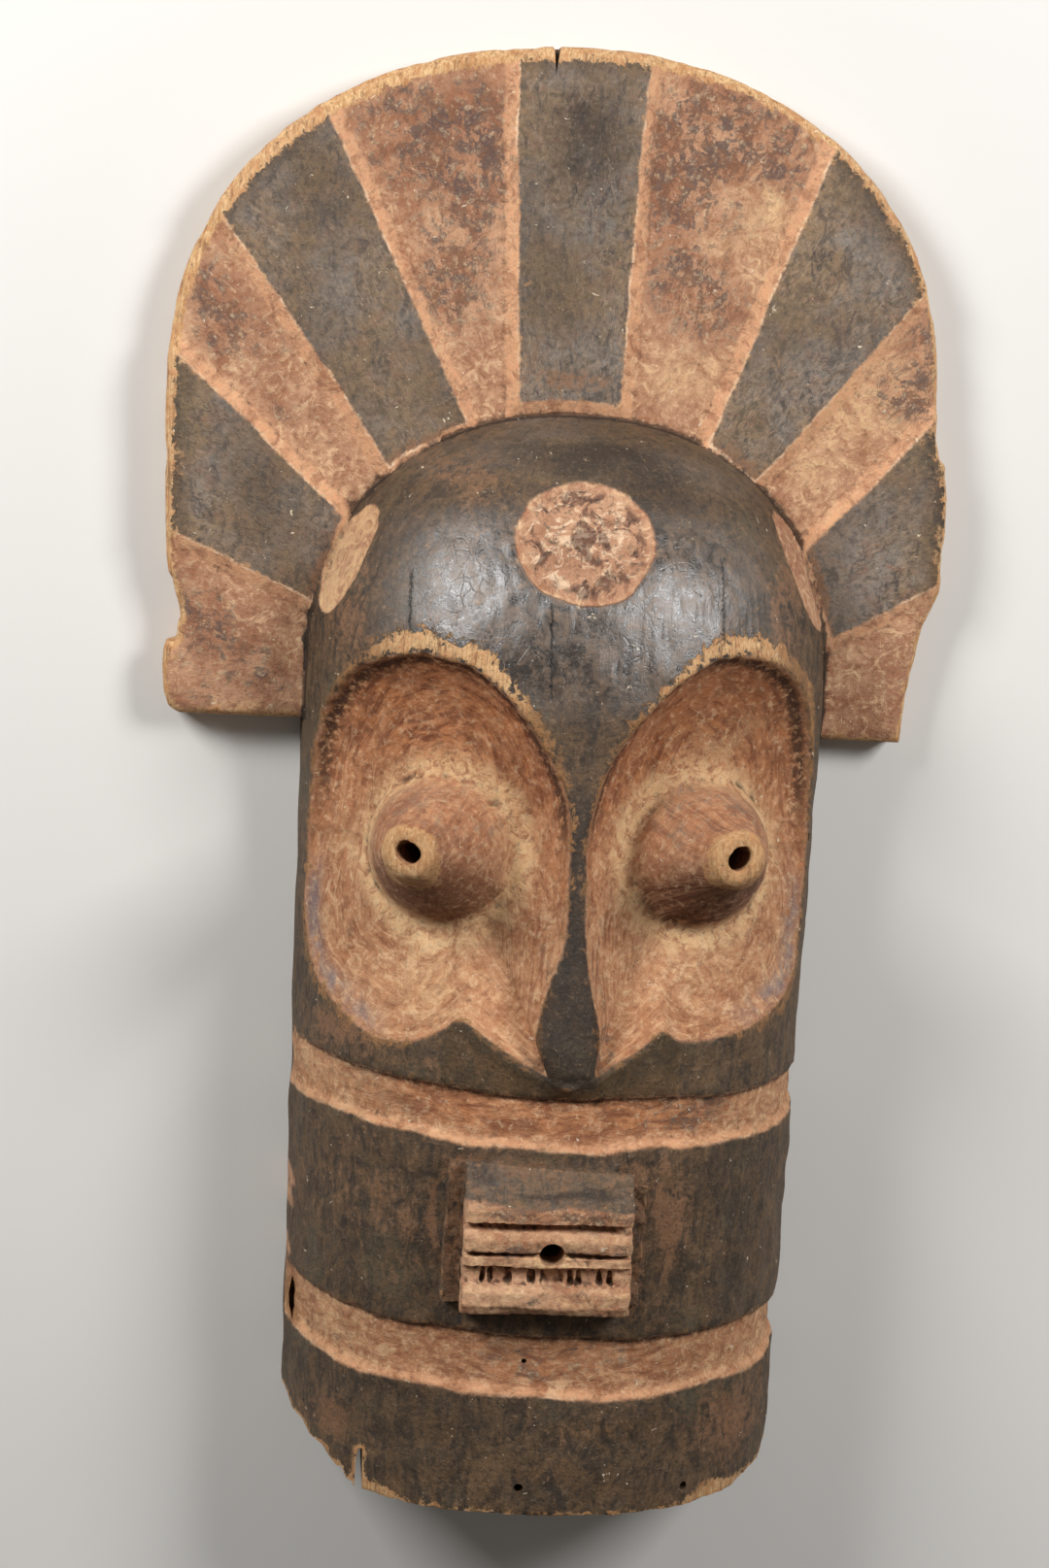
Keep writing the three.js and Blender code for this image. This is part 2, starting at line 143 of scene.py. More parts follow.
def hollow_place(side, angle, y):
    """How far a point lies from the hollow's heart towards its edge: 1 is on the edge.
    Also the distance inside the edge in mm, and the direction from the heart."""
    heart_x, heart_y = HOLLOW_HEART[side]
    heart_angle = blank_angle(np.array([heart_x]), np.array([heart_y]))[0]
    edge = close_curve(HOLLOW_EDGE[side], 12)
    edge_across = (blank_angle(edge[:, 0], edge[:, 1]) - heart_angle) * ARCH_ARC
    edge_up = edge[:, 1] - heart_y
    turn = np.arctan2(edge_up, edge_across)
    order = np.argsort(turn)
    turn, reach = turn[order], np.hypot(edge_across, edge_up)[order]
    turn = np.concatenate([turn - 2 * math.pi, turn, turn + 2 * math.pi])
    reach = np.concatenate([reach, reach, reach])
    across, up = (angle - heart_angle) * ARCH_ARC, y - heart_y
    way = np.arctan2(up, across)
    limit = np.interp(way, turn, reach)
    away = np.hypot(across, up)
    return away / limit, limit - away, way


# The nose: the strip of the block left between the hollows. It swells to the tip, and two low
# wings run out from under it to the lower corners of the hollows.
NOSE_CREST = [(12, 0), (-20, 0.6), (-45, 1.5), (-80, 3.2), (-108, 6), (-126, 8), (-137, 7), (-143, 3.5),
              (-149, 0)]
NOSE_LINE = [(20, 3), (-30, 2.4), (-80, 2.6), (-110, 1.4), (-130, 1.8), (-150, 4)]
CHEVRON = [(-49, -115), (-45.3, -116.6), (-33.8, -123.2), (-16.4, -134.9), (3.5, -144), (21.9, -134.7),
           (34.5, -126.1), (43.4, -119), (47, -117)]


def along(table, value):
    keys, sizes = zip(*sorted(table))
    return np.interp(value, keys, sizes)


def nose_lift(x, y):
    """The nose and the two low wings under it stand proud of the rounded block."""
    ridge = along(NOSE_CREST, y)
    half = 5 + 9 * ramp(-y, 75, 118)
    nose = ridge * np.exp(-(np.abs(x - along(NOSE_LINE, y)) / (half * 1.25)) ** 2.4)
    fold = along(CHEVRON, x)
    height = 0.6 + 5.5 * np.clip(1 - np.abs(x - 3) / 50, 0, 1) ** 1.3
    wide = np.clip((52 - np.abs(x - 1)) / 6, 0, 1)
    below = height * wide * np.clip((y + 148.5) / np.maximum(fold + 148.5, 1), 0, 1)
    above = height * wide * np.clip(1 - (y - fold) / 16, 0, 1) ** 1.6
    return np.maximum(nose, np.where(y < fold, below, above))


# The two bands: cut round the tube as shallow recesses, sharp at the top and sloping at the
# lower edge. Both rise a little toward the mask's left side and run out there.
BANDS = [(-148.5, -173.0), (-258.5, -286.5)]
BAND_DEPTH, BAND_LEFT_RISE = 3.0, 4.5
BAND_RUN_OUT = (-115, -106)


def band_inside(x, y, points):
    """Distance inside the nearer band's edges in mm, for the top and the lower edge."""
    best_top = np.full(len(y), -99.0)
    best_low = np.full(len(y), -99.0)
    for number, (top, low) in enumerate(BANDS):
        sway = 0.9 * wobble(points, 60, 31 + number) + 0.35 * wobble(points, 14, 35 + number)
        rise = BAND_LEFT_RISE * np.clip((-20 - x) / 90, 0, 1)
        from_top = top + sway + rise - y
        from_low = y - (low + 1.2 * sway + 0.012 * x + rise)
        nearer = np.minimum(from_top, from_low) > np.minimum(best_top, best_low)
        best_top = np.where(nearer, from_top, best_top)
        best_low = np.where(nearer, from_low, best_low)
    return best_top, best_low


# The round spots on the dome, one in front and one at each side, let in a little and then
# rubbed with ochre. Each is given by its heart and radius; the side ones are slightly oval.
SPOTS = [((0, 92, 100), 30.5), ((-100, 76, 42.5), 26.5), ((101, 78, 40), 29.5)]
SIDE_OVAL, SPOT_SINK = 1.3, 1.3


def spot_inside(points):
    """Distance inside the nearest round spot's edge, in mm."""
    best = np.full(len(points), -99.0)
    for number, (heart, radius) in enumerate(SPOTS):
        uneven = 0.4 * wobble(points, 16, 40 + number)
        oval = np.array([1, 1, 1 if heart[0] == 0 else SIDE_OVAL])
        away = np.linalg.norm((points - np.array(heart)) * oval, axis=1)
        best = np.maximum(best, radius + uneven - away)
    return best


# The tube and its dome: the block rounded in front, with the hollows, nose, bands and spots
# worked into its surface. It is one closed skin, laid over an arch from the rim to the dome's top.
TUBE_COLUMNS, TUBE_ROWS = 280, 430
DOME_RUN, DOME_CLOSED = 1.62, 0.992


def read_points(form):
    points = np.empty(len(form.data.vertices) * 3)
    form.data.vertices.foreach_get("co", points)
    return points.reshape(-1, 3)


def write_points(form, points):
    form.data.vertices.foreach_set("co", np.ascontiguousarray(points).ravel())
    form.data.update()


def to_row(points):
    return (points + BENCH) / 1000


def to_bench(points):
    return points * 1000 - BENCH


def choose(form, rule):
    """In edit mode, leaves only those points selected that the rule takes."""
    cut = bmesh.from_edit_mesh(form.data)
    bpy.ops.mesh.select_mode(type="VERT")
    bpy.ops.mesh.select_all(action="DESELECT")
    for point in cut.verts:
        point.select = bool(rule(point))
    cut.select_flush_mode()
    bmesh.update_edit_mesh(form.data)


def arch_form(name, columns, rows, place, leg):
    """A grid laid over an arch, closed across both ends and underneath."""
    bpy.ops.object.select_all(action="DESELECT")
    bpy.ops.mesh.primitive_grid_add(x_subdivisions=columns, y_subdivisions=rows, size=2)
    form = bpy.context.object
    form.name = name
    flat = read_points(form)
    angle = flat[:, 0] * math.pi / 2
    shaped = place(angle, (flat[:, 1] + 1) / 2)
    legs = np.abs(flat[:, 0]) > 0.9999
    shaped[legs, 2] = -leg
    write_points(form, to_row(shaped))
    form.data.attributes.new("end", "FLOAT", "POINT").data.foreach_set("value", flat[:, 1])
    form.data.attributes.new("side", "FLOAT", "POINT").data.foreach_set("value", flat[:, 0])
    bpy.ops.object.mode_set(mode="EDIT")
    for end in (-1, 1):
        cut = bmesh.from_edit_mesh(form.data)
        end_of = cut.verts.layers.float["end"]
        side_of = cut.verts.layers.float["side"]
        choose(form, lambda v: abs(v[end_of] - end) < 1e-4 and abs(v[side_of]) > 0.9999)
        bpy.ops.mesh.edge_face_add()
        cut = bmesh.from_edit_mesh(form.data)
        end_of = cut.verts.layers.float["end"]
        choose(form, lambda v: abs(v[end_of] - end) < 1e-4)
        bpy.ops.mesh.edge_face_add()
    bpy.ops.mesh.select_all(action="SELECT")
    bpy.ops.mesh.fill_holes(sides=0)
    bpy.ops.mesh.select_all(action="SELECT")
    bpy.ops.mesh.normals_make_consistent(inside=False)
    bpy.ops.object.mode_set(mode="OBJECT")
    form.data.attributes.remove(form.data.attributes["end"])
    form.data.attributes.remove(form.data.attributes["side"])
    return form


def place_outside(angle, run):
    """A point of the carved front, by its angle round the arch and its run from rim to dome top."""
    straight = DOME_FOOT - RIM_Y
    length = straight + DOME_REACH * DOME_RUN
    gone = run * length
    turn = np.clip((gone - straight) / (length - straight), 0, 1) * math.pi / 2 * DOME_CLOSED
    y = np.where(gone < straight, RIM_Y + gone, DOME_FOOT + DOME_REACH * np.sin(turn))
    radius = blank_radius(angle, y)
    x, z = TUBE_X + radius * np.sin(angle), radius * np.cos(angle)
    _, depth = tube_size(y)
    points = np.stack([x, y, z], 1)
    sink = np.zeros(len(y))
    lift = nose_lift(x, y) * (np.abs(x) < 60) * (z > 60)
    for side in ("left", "right"):
        share, inside, way = hollow_place(side, angle, y)
        outward = np.cos(way) * (-1 if side == "left" else 1)
        brow = ramp(np.sin(way), -0.45, 0.55)
        nose_side = ramp(-outward, -0.2, 0.7)
        power = 2.0 + 3.4 * brow + 1.4 * nose_side * (1 - brow)
        step = 0.4 + 2.6 * brow + 0.8 * nose_side
        nicked = inside + brow * (0.9 * wobble(points, 6, 8) + 0.5 * wobble(points, 3.2, 9))
        scoop = HOLLOW_DEPTH * (1 - np.clip(share, 0, 1) ** power) + step * ramp(nicked, 0.2, 2.0)
        scoop += 0.5 * wobble(points * np.array([1, 0.55, 1]), 13, 7) * ramp(inside, 3, 14)
        sink = np.where(inside > 0, scoop, sink)
    from_top, from_low = band_inside(x, y, points)
    band = BAND_DEPTH * np.minimum(ramp(from_top, 0, 1.2), ramp(from_low, -0.5, 5.5))
    band += 0.35 * wobble(points, 11, 12) * (band > 2)
    band *= ramp(x, *BAND_RUN_OUT)
    sink = np.maximum(sink, band)
    spot = spot_inside(points)
    sink += SPOT_SINK * ramp(spot, 0, 1.3) * (y > 40)
    pitted = 0.5 * (1 + wobble(points, 5, 44)) + 1.1 * ramp(wobble(points, 6, 45), 0.2, 1.1)
    sink += pitted * ramp(spot, 3, 6) * (y > 40) * (z > 60)
    front = 0.35 * wobble(points, 38, 3) + 0.22 * wobble(points, 17, 4)
    radius = radius - sink + lift + front
    fade = np.clip(1 - (y - RIM_Y) / 30, 0, 1)
    y = y - RIM_LEAN * fade * (1 - (1 - np.clip(z / depth, 0, 1)) ** 2)
    return np.stack([TUBE_X + radius * np.sin(angle), y, np.maximum(radius * np.cos(angle), 0)], 1)


tube = arch_form("mask_carving", TUBE_COLUMNS, TUBE_ROWS, place_outside, 0)

# The crest: the same block left standing as a flat plate round the dome. Its edge line is two
# quarter arches that meet at the top; the left edge has a bite out of it, the right foot is worn.
CREST_THICK, CREST_TOP = 26.0, 307.0
CREST_HEART = np.array([-3.0, 110.0])
CREST_EDGE_POINTS = 700
CREST_ARCHES = [(166.0, 160.0, 2.1, 1), (184.5, 150.0, 2.23, -1)]
CREST_LEFT_FOOT = [(-184.2, 129), (-183.2, 104), (-182.2, 82), (-181.3, 66.4), (-180.8, 63.4),
                   (-178.9, 61.8), (-177.7, 57.7), (-176.6, 53.4), (-175, 49), (-174.5, 43), (-175.7, 40.2),
                   (-175.4, 36), (-176, 32.8), (-180.6, 32.6), (-181.5, 29.5), (-181.8, 19), (-181, 8.9),
                   (-178.7, 3.2), (-174, 0.2)]
CREST_RIGHT_FOOT = [(150, 0), (160.2, 0), (160.6, 11.2), (161.4, 20.3), (162.6, 28), (164.2, 36.7),
                    (165.4, 46), (167.1, 54.4), (170.2, 61.3), (173.5, 69.6), (173.5, 81), (174, 98),
                    (173.4, 116), (171.8, 129.4), (169.2, 132), (167.2, 142)]


def crest_line(count):
    """So many points at even steps round the crest's edge."""
    corners = list(CREST_RIGHT_FOOT)
    for reach, foot, power, way in CREST_ARCHES:
        turns = np.linspace(0, math.pi / 2, 60)
        if way < 0:
            turns = turns[::-1][1:]
        for turn in turns:
            x = way * reach * math.cos(turn) ** (2 / power)
            corners.append((x, foot + (CREST_TOP - foot) * math.sin(turn) ** (2 / power)))
    corners += CREST_LEFT_FOOT
    line = np.array(corners + [corners[0]], float)
    run = np.concatenate([[0], np.cumsum(np.hypot(*np.diff(line, axis=0).T))])
    even = np.linspace(0, run[-1], count, endpoint=False)
    return np.stack([np.interp(even, run, line[:, 0]), np.interp(even, run, line[:, 1])], 1)


def alone(form):
    bpy.ops.object.select_all(action="DESELECT")
    form.select_set(True)
    bpy.context.view_layer.objects.active = form


def draw_out(form, x, y, z):
    """Draws a flat outline out into a block, by this many mm."""
    bpy.ops.object.mode_set(mode="EDIT")
    bpy.ops.mesh.select_all(action="SELECT")
    bpy.ops.mesh.extrude_region_move(TRANSFORM_OT_translate={"value": (x / 1000, y / 1000, z / 1000)})
    bpy.ops.mesh.select_all(action="SELECT")
    bpy.ops.mesh.normals_make_consistent(inside=False)
    bpy.ops.object.mode_set(mode="OBJECT")


def cut_with(form, tool, operation):
    alone(form)
    joint = form.modifiers.new("cut", "BOOLEAN")
    joint.operation = operation
    joint.object = tool
    joint.solver = "MANIFOLD"
    bpy.ops.object.modifier_apply(modifier=joint.name)
    bpy.data.objects.remove(tool)


edge_line = crest_line(CREST_EDGE_POINTS)
inward = edge_line - CREST_HEART
inward /= np.linalg.norm(inward, axis=1)[:, None]
edge_3d = np.column_stack([edge_line, np.zeros(len(edge_line))])
ragged = 0.5 * wobble(edge_3d, 22, 51) + 0.3 * wobble(edge_3d, 7, 52)
ragged *= np.clip(edge_line[:, 1] / 12, 0, 1)
edge_line = edge_line - inward * np.clip(ragged, -0.1, 3)[:, None]

bpy.ops.object.select_all(action="DESELECT")
bpy.ops.mesh.primitive_circle_add(vertices=CREST_EDGE_POINTS, radius=0.2, fill_type="NGON")
crest = bpy.context.object
flat = read_points(crest)
order = np.argsort(np.mod(np.arctan2(flat[:, 1], flat[:, 0]), 2 * math.pi))
shaped = np.zeros_like(flat)
shaped[order, :2] = edge_line
write_points(crest, to_row(shaped))
draw_out(crest, 0, 0, CREST_THICK)
cut_with(tube, crest, "UNION")

# The eye cones: left standing in the hollows when these were scooped, and rounded off at the
# tip. Each is given by the middle of its foot and of its tip, and by its outline.
CONES = [((-53.5, -47.5, 84), (-73.2, -39.2, 143.2)), ((58.5, -45.5, 84), (69.6, -36.5, 143.2))]
CONE_OVAL = 0.94
CONE_PROFILE = [(0, -16), (40, -15), (37.5, -5), (34.4, 3), (31.4, 11), (28.2, 20), (24.6, 29), (20.2, 39),
                (16.2, 48), (14.2, 54), (13.0, 58.5), (10.5, 61), (6, 61.4), (0, 61.4)]


def turned_form(profile, base, tip, squash):
    """A ball drawn out along its axis until its outline follows the profile (radius, height)."""
    bpy.ops.object.select_all(action="DESELECT")
    bpy.ops.mesh.primitive_uv_sphere_add(segments=120, ring_count=90, radius=1)
    form = bpy.context.object
    ball = read_points(form)
    line = np.array(profile, float)
    run = np.concatenate([[0], np.cumsum(np.hypot(*np.diff(line, axis=0).T))])
    share = (np.arcsin(np.clip(ball[:, 2], -1, 1)) / math.pi + 0.5) * run[-1]
    radius, height = np.interp(share, run, line[:, 0]), np.interp(share, run, line[:, 1])
    around = np.arctan2(ball[:, 1], ball[:, 0])
    made = np.stack([radius * squash * np.cos(around), radius * np.sin(around), height], 1)
    base, tip = Vector(base), Vector(tip)
    turn = np.array((tip - base).normalized().to_track_quat("Z", "Y").to_matrix())
    write_points(form, to_row(made @ turn.T + np.array(base)))
    return form


for base, tip in CONES:
    cut_with(tube, turned_form(CONE_PROFILE, base, tip, CONE_OVAL), "UNION")

# The inside: hollowed from behind and from the lower end with a long gouge, and left plain. The
# bores of the cones run through into it, made last with a hot iron.
CAVITY_WIDTH, CAVITY_DEPTH, CAVITY_REACH = 95.0, 86.0, 95.0
CAVITY_PAST_RIM, CAVITY_POWER = 60, 2.2
CAVITY_COLUMNS, CAVITY_ROWS = 150, 260
CAVITY_RUN, CAVITY_CLOSED = 1.5, 0.96
BORE_RADIUS, BORE_OVAL = 5.6, 0.78


def gouge_cuts(points, size, seed):
    """Shallow scoops side by side, as a gouge leaves: 0 on the ridges, 1 in the scoops."""
    cell = np.floor(points / size).astype(np.int64)
    nearest = np.full(len(points), 9.0)
    for step in np.ndindex(3, 3, 3):
        home = cell + np.array(step) - 1
        key = (home * np.array([73856093, 19349663, 83492791])).sum(1) + seed * 2654435
        spot = np.stack([((key * k) % 9973) / 9973.0 for k in (31, 57, 97)], 1)
        away = np.linalg.norm(home + spot - points / size, axis=1)
        nearest = np.minimum(nearest, away)
    return 1 - np.clip(nearest / 0.9, 0, 1) ** 2


def place_inside(angle, run):
    """A point of the hollowed inside, given as place_outside is. It starts below the rim."""
    straight = DOME_FOOT - RIM_Y + CAVITY_PAST_RIM
    length = straight + CAVITY_REACH * CAVITY_RUN
    gone = run * length
    turn = np.clip((gone - straight) / (length - straight), 0, 1) * math.pi / 2 * CAVITY_CLOSED
    y = np.where(gone < straight, RIM_Y - CAVITY_PAST_RIM + gone, DOME_FOOT + CAVITY_REACH * np.sin(turn))
    share = np.cos(turn) ** 0.9
    radius = arch_radius(angle, CAVITY_WIDTH * share, CAVITY_DEPTH * share, CAVITY_POWER)
    points = np.stack([radius * np.sin(angle), y, radius * np.cos(angle)], 1)
    radius = radius - 0.9 * gouge_cuts(points * np.array([1, 0.5, 1]), 11, 5) + 0.8 * wobble(points, 60, 6)
    return np.stack([TUBE_X + radius * np.sin(angle), y, np.maximum(radius * np.cos(angle), 0)], 1)


cavity = arch_form("cavity", CAVITY_COLUMNS, CAVITY_ROWS, place_inside, 20)
cut_with(tube, cavity, "DIFFERENCE")


def drill(at, axis, radius, length=200, squash=1.0, sides=40):
    """A rod through a place, to bore a hole with, in mm."""
    bpy.ops.object.select_all(action="DESELECT")
    bpy.ops.mesh.primitive_cylinder_add(vertices=sides, radius=radius / 1000, depth=length / 1000)
    bit = bpy.context.object
    rod = read_points(bit)
    rod[:, 0] *= squash
    turn = np.array(Vector(axis).normalized().to_track_quat("Z", "Y").to_matrix())
    write_points(bit, rod @ turn.T + to_row(np.array(at, float)))
    return bit


for base, tip in CONES:
    axis = Vector(tip) - Vector(base)
    cut_with(tube, drill(tip, axis, BORE_RADIUS, squash=BORE_OVAL), "DIFFERENCE")

# The joined block's surface: it is laid again as one even skin, as fine as a knife's smaller
# cuts, so that the sectors, tool marks and worn edges can be worked into it. The size is in mm.
BLOCK_SKIN = 1.25


def lay_skin(form, size):
    alone(form)
    skin = form.modifiers.new("skin", "REMESH")
    skin.mode = "VOXEL"
    skin.voxel_size = size / 1000
    bpy.ops.object.modifier_apply(modifier=skin.name)


lay_skin(tube, BLOCK_SKIN)

# The crest's sectors: the ochre ones are cut down as shallow trays with sloping sides, and the
# black ones stand between them. Each ray is given by its inner and its outer end. Then the whole
# front is gone over with small tools, and the cones' feet are softened.
RAYS = [
    ((-110, 53), (-175, 81)), ((-105, 96), (-177, 159)), ((-82, 118), (-158, 220)),
    ((-53, 145), (-114, 266)), ((-26, 150), (-33, 294)), ((19, 150), (25, 297)), ((63, 139), (110, 266)),
    ((86, 121), (157, 208)), ((107, 85), (167, 151)), ((120, 46), (173, 74)),
]
TRAY_DEPTH, SLOPE = 3.5, 6.5
DOME_COLLAR = 5.0
EDGE_WEAR, EDGE_WEAR_WIDTH = 3.4, 7
CONE_WAIST, CONE_FILLET = 33, 7


def ray_side(points, ray):
    """Distance from a ray in mm, positive on its clockwise side, seen from the front."""
    (x0, y0), (x1, y1) = ray
    long = math.hypot(x1 - x0, y1 - y0)
    bow = 0.7 * wobble(points, 70, int(x1) + 400) + 0.25 * wobble(points, 15, int(x1) + 500)
    return ((points[:, 0] - x0) * (y1 - y0) - (points[:, 1] - y0) * (x1 - x0)) / long + bow


def sector_inside(points):
    """Distance inside the nearest ochre sector in mm, negative on the black ones."""
    sides = [ray_side(points, ray) for ray in RAYS]
    best = np.maximum(-sides[0], sides[9])
    for lower, upper in ((1, 2), (3, 4), (5, 6), (7, 8)):
        best = np.maximum(best, np.minimum(sides[lower], -sides[upper]))
    out_of_dome = np.linalg.norm((points[:, :2] - np.array([0, DOME_FOOT])), axis=1) - DOME_REACH
    collar = DOME_COLLAR + 1.0 * wobble(points, 20, 71) - out_of_dome
    return np.maximum(best, np.where(np.abs(points[:, 0]) < 60, collar, -9))


def edge_distance(points):
    """How far in from the crest's outer edge a point lies, in mm."""
    line = crest_line(360)
    ends = np.roll(line, -1, 0)
    near = np.full(len(points), 1e9)
    for a, b in zip(line, ends):
        way = b - a
        t = np.clip(((points[:, :2] - a) @ way) / (way @ way + 1e-9), 0, 1)
        gap = points[:, :2] - a - t[:, None] * way
        near = np.minimum(near, (gap ** 2).sum(1))
    return np.sqrt(near)


def read_normals(form):
    normals = np.empty(len(form.data.vertices) * 3, np.float32)
    form.data.vertex_normals.foreach_get("vector", normals)
    return normals.reshape(-1, 3).astype(float)


def past_arch(x, y, z):
    """1 on the arch and dome's surface, more outside it."""
    width, depth = tube_size(y)
    share = dome_share(y)
    across = (np.abs(x - TUBE_X) / (width * share)) ** ARCH_POWER
    return across + (np.maximum(z, 0) / (depth * share)) ** ARCH_POWER


def shape_crest(form):
    """Sinks the ochre sectors, rounds the crest's worn edge and leaves the tool's marks on it."""
    points = to_bench(read_points(form))
    normals = read_normals(form)
    x, y, z = points.T
    plate = (y > -3) & (z < CREST_THICK + 1.5)
    face = plate & (normals[:, 2] > -0.3) & (z > 8) & (past_arch(x, y, z) > 1.005)
    rows = np.where(plate)[0]
    inset = np.full(len(points), 99.0)
    inset[rows] = edge_distance(points[rows])
    some = points[face]
    tray = TRAY_DEPTH * np.clip(sector_inside(some) / SLOPE, 0, 1)
    hills = 0.5 * wobble(some, 45, 61) + 0.3 * wobble(some, 16, 62) + 0.35 * gouge_cuts(some, 9, 63)
    worn = np.clip(1 - inset[face] / (EDGE_WEAR_WIDTH + 2 * wobble(some, 25, 64)), 0, 1) ** 1.7
    points[face, 2] -= (tray + hills * 0.6 + EDGE_WEAR * worn) * ramp(some[:, 2], 8, CREST_THICK - 3)
    write_points(form, to_row(points))


def smoothed(form, rounds):
    """The points in mm after so many rounds of each going most of the way to its neighbours."""
    points = read_points(form) * 1000
    edges = np.empty(len(form.data.edges) * 2, np.int32)
    form.data.edges.foreach_get("vertices", edges)
    a, b = edges.reshape(-1, 2).T
    count = np.bincount(np.concatenate([a, b]), minlength=len(points))
    for _ in range(rounds):
        total = np.zeros_like(points)
        for axis in range(3):
            total[:, axis] = (np.bincount(a, points[b, axis], len(points))
                              + np.bincount(b, points[a, axis], len(points)))
        points = 0.4 * points + 0.6 * total / count[:, None]
    return points


def cone_place(points):
    """Height along the nearer cone's axis and distance from that axis, in mm."""
    height, reach = np.zeros(len(points)), np.full(len(points), 999.0)
    for base, tip in CONES:
        base, tip = np.array(base, float), np.array(tip, float)
        line = (tip - base) / np.linalg.norm(tip - base)
        up = (points - base) @ line
        away = np.linalg.norm(points - base - up[:, None] * line, axis=1)
        nearer = away < reach
        height, reach = np.where(nearer, up, height), np.where(nearer, away, reach)
    return height, reach


def shape_face(form):
    """Softens the cones' feet and leaves the marks of the knife over the rounded front."""
    points = to_bench(read_points(form))
    soft = to_bench(smoothed(form, 18) / 1000)
    height, reach = cone_place(points)
    low_down = (height < 22) & (height > -12) & (points[:, 2] > 75)
    at_foot = np.exp(-((reach - CONE_WAIST) / CONE_FILLET) ** 2) * low_down
    points += (soft - points) * np.clip(1.4 * at_foot, 0, 1)[:, None]
    x, y, z = points.T
    outside = past_arch(x, y, z)
    front = (z > 10) & (outside > 0.6) & ((outside < 1.2) | (z > 40))
    angle = np.arctan2(x - TUBE_X, np.maximum(z, 1e-3))
    in_hollow = np.maximum(hollow_place("left", angle, y)[1], hollow_place("right", angle, y)[1])
    carved = ramp(in_hollow, 1, 5)
    marks = (0.16 + 0.5 * carved) * gouge_cuts(points * np.array([1, 0.6, 1]), 7, 21)
    marks += 0.16 * wobble(points * np.array([1, 0.3, 1]), 4, 22)
    marks += 0.3 * wobble(points, 12, 23) * (y < -150)
    points -= read_normals(form) * (marks * front)[:, None]
    write_points(form, to_row(points))


shape_crest(tube)
shape_face(tube)


def store(form, name, values):
    layer = form.data.attributes.new(name, "FLOAT", "POINT")
    layer.data.foreach_set("value", np.ascontiguousarray(values, np.float32))


def edge_relief(form, rounds):
    """How far each point stands above the mean of its surroundings, in mm."""
    return ((read_points(form) * 1000 - smoothed(form, rounds)) * read_normals(form)).sum(1)


# Relief: how far each point stands proud of its surroundings. Raised edges wear to bare wood, and sunk
# creases get painted shade and dirt; beside the nose they get less.
raised = edge_relief(tube, 14)
x, y, z = to_bench(read_points(tube)).T
beside_nose = np.exp(-((np.abs(x - 1) - 22) / 11) ** 2 - ((y + 118) / 26) ** 2)
store(tube, "relief", raised * np.where(raised < 0, 1 - 0.85 * beside_nose, 1))


# The losses: a broken corner and a saw-like slot at the lower rim, a split at the crest's top
# and one in the left side, and small holes for a cord or costume. The mouth's bore is cut too.
def wedge(corners, low, high):
    """A block with the given outline, square to the face, to cut away wood with."""
    bpy.ops.object.select_all(action="DESELECT")
    bpy.ops.mesh.primitive_circle_add(vertices=len(corners), radius=0.01, fill_type="NGON")
    tool = bpy.context.object
    write_points(tool, to_row(np.array([(x, y, low) for x, y in corners], float)))
    draw_out(tool, 0, 0, high - low)
    return tool


LOWER_CORNER = [(-130, -314), (-112, -317), (-108.5, -321), (-104, -321.5), (-101, -325.5), (-95, -327),
                (-92, -331), (-88.5, -334), (-86.5, -333.4), (-84, -338), (-81, -338.4), (-80.4, -352),
                (-130, -352)]
SLOT = [(-80.6, -352), (-80.2, -327), (-79.4, -322), (-77.6, -321.6), (-77.2, -329), (-76.6, -352)]
TOP_SPLIT = [(-20.5, 312), (-17.8, 305), (-17.4, 299), (-16.9, 294), (-16.2, 299.5), (-15.2, 305),
             (-13.2, 312)]
SMALL_HOLES = [((-8.3, -329, 112), (-0.05, 0, 1), 2.1), ((64.7, -332, 95), (0.45, 0, 1), 2.0),
               ((-9, -270.6, 112), (0, 0, 1), 1.2), ((108, -41.5, 42), (0.9, 0, 0.35), 1.8)]
SIDE_SPLIT = [(-111.0, -260.5), (-110.0, -263), (-109.2, -268), (-109.6, -273), (-109.0, -277),
              (-110.2, -281), (-111.8, -277), (-112.2, -270), (-111.6, -265)]
MOUTH_HOLE = ((-1, -215.8, 137), (0, 0, 1), 5.5)
losses = [wedge(LOWER_CORNER, -10, 150), wedge(SLOT, 40, 150), wedge(TOP_SPLIT, 6, 40),
          wedge(SIDE_SPLIT, 14, 64)]
for at, axis, radius in SMALL_HOLES:
    losses.append(drill(at, axis, radius, 60, sides=18))
losses.append(drill(*MOUTH_HOLE))

# The mouth: a box left standing on the chin and cut across into lips and a row of teeth, its
# edges rounded by handling. It is cut finer than the rest, so it gets a finer skin.
MOUTH_SIDES = (-39.5, 34.0)
MOUTH_PROFILE = [
    (-178, 104), (-178, 126.5), (-180.5, 128.6), (-187, 131.2), (-192.5, 133.6), (-194, 136.4),
    (-196.5, 137.8), (-201.8, 137.4), (-203.0, 131), (-205.0, 130.6), (-206.6, 135.8), (-209.5, 137.4),
    (-215.0, 136.6), (-216.0, 131.4), (-217.0, 131.4), (-217.6, 135.8), (-221.8, 135.6), (-223.2, 129),
    (-229.2, 128.6), (-231.0, 134.4), (-233.2, 136.8), (-239.6, 137.4), (-243.2, 134.4), (-245.4, 126),
    (-245.4, 104),
]
MOUTH_FRAME = [(-47.8, -242.5), (39.4, -243), (41.0, -184), (-46.8, -178.5)]
TEETH = [(-40, -31.5), (-30, -28.4), (-26.6, -20.8), (-18.6, -10.6), (-8, -5), (4.4, 6.8), (8.6, 10.2),
         (12.2, 19.6), (21.4, 24.2), (26.4, 34.5)]
TEETH_UP, TEETH_LOW, TEETH_TOP = -222, -231, 131.4
MOUTH_SKIN = 0.6


